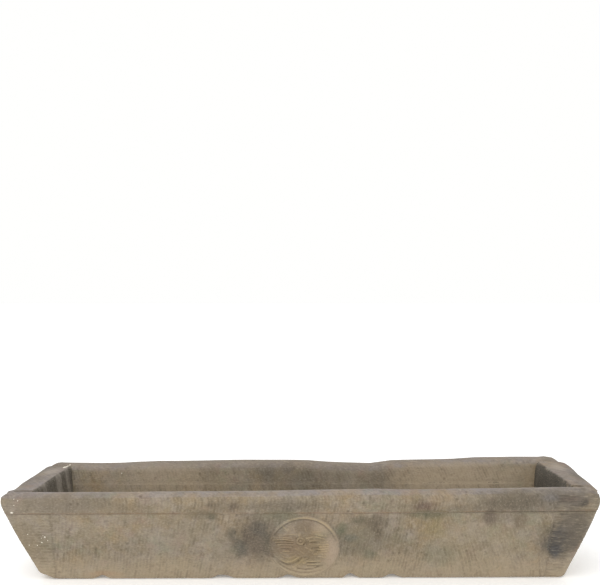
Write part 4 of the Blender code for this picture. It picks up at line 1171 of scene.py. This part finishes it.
# One more on the back rim's inner face, and the crusts
start = Vector((-530, 0, 214)) * MM
points.append((landed(start, WAYS_OUT["back"], "back_coping"), 4.5 * MM))
crust = random.Random(21)
for share in np.linspace(0, 1, CRUSTS):
    start = Vector((-686 - 2 * share + crust.uniform(-3, 3), 86 + 36 * share, 400)) * MM
    size = crust.uniform(2.5, 6.0) * MM
    points.append((landed(start, -UP, "left_end_coping", "back_coping"), size))
mesh = bpy.data.meshes.new("lime_splashes")
mesh.from_pydata([point for point, _ in points], [], [])
sizes = mesh.attributes.new("size", "FLOAT", "POINT")
for row, (_, size) in zip(sizes.data, points):
    row.value = size
splashes = new_piece("lime_splashes", mesh)
scatter = splashes.modifiers.new("splashes", "NODES")
scatter.node_group = splash_tree()
set_inputs(scatter, {"Material": WHITE_LIME})
made_plain(splashes)
belongs(splashes, "lime_mortar")
print("lime splashes:", len(points), "triangles:", triangles(splashes))

# %% [markdown]
# ## Camera, floor and light
#
# The camera stands half a metre above the rim, level, 1.6 m in front of the trough and right of
# its middle. Its focal length and shift were fitted to the outline, so that the rim, the seam and
# the foot fall where the photograph has them. The floor and the light are a plain studio's: a
# white sky that wraps the stone in soft light, and one large lamp above the camera's left.

# %% The studio
WHITE = linear("#ffffff")
LAMP_PLACE, LAMP_AIM = Vector((-0.8, -2.0, 3.0)), Vector((0, 0, 0.1))
scene = bpy.context.scene
camera = bpy.data.objects.new("camera", bpy.data.cameras.new("camera"))
camera.data.sensor_width = 36
camera.data.lens = 39.304
camera.data.shift_x = -0.07256
camera.data.shift_y = -0.00587
camera.location = (0.0903, -1.7775, 0.7418)
camera.rotation_euler = (math.radians(90), 0, math.radians(-0.448))
scene.collection.objects.link(camera)
scene.camera = camera

bm = bmesh.new()
bmesh.ops.create_grid(bm, x_segments=1, y_segments=1, size=30)
floor = new_piece("floor", mesh_from("floor", bm))
paper, node = empty_material("pale_paper")
close_material(node, {
    "Base Color": WHITE, "Roughness": 0.95, "Emission Color": WHITE, "Emission Strength": 0.15,
})
floor.data.materials.append(paper)

world = bpy.data.worlds.new("studio")
scene.world = world
world.use_nodes = True
sky = world.node_tree.nodes["Background"].inputs
sky["Color"].default_value = (1, 1, 0.99, 1)
sky["Strength"].default_value = 1.0
lamp = bpy.data.objects.new("key", bpy.data.lights.new("key", "AREA"))
lamp.data.size = 2.0
lamp.data.energy = 34
lamp.location = LAMP_PLACE
lamp.rotation_euler = (LAMP_AIM - LAMP_PLACE).to_track_quat("-Z", "Y").to_euler()
scene.collection.objects.link(lamp)
scene.view_settings.view_transform = "Standard"
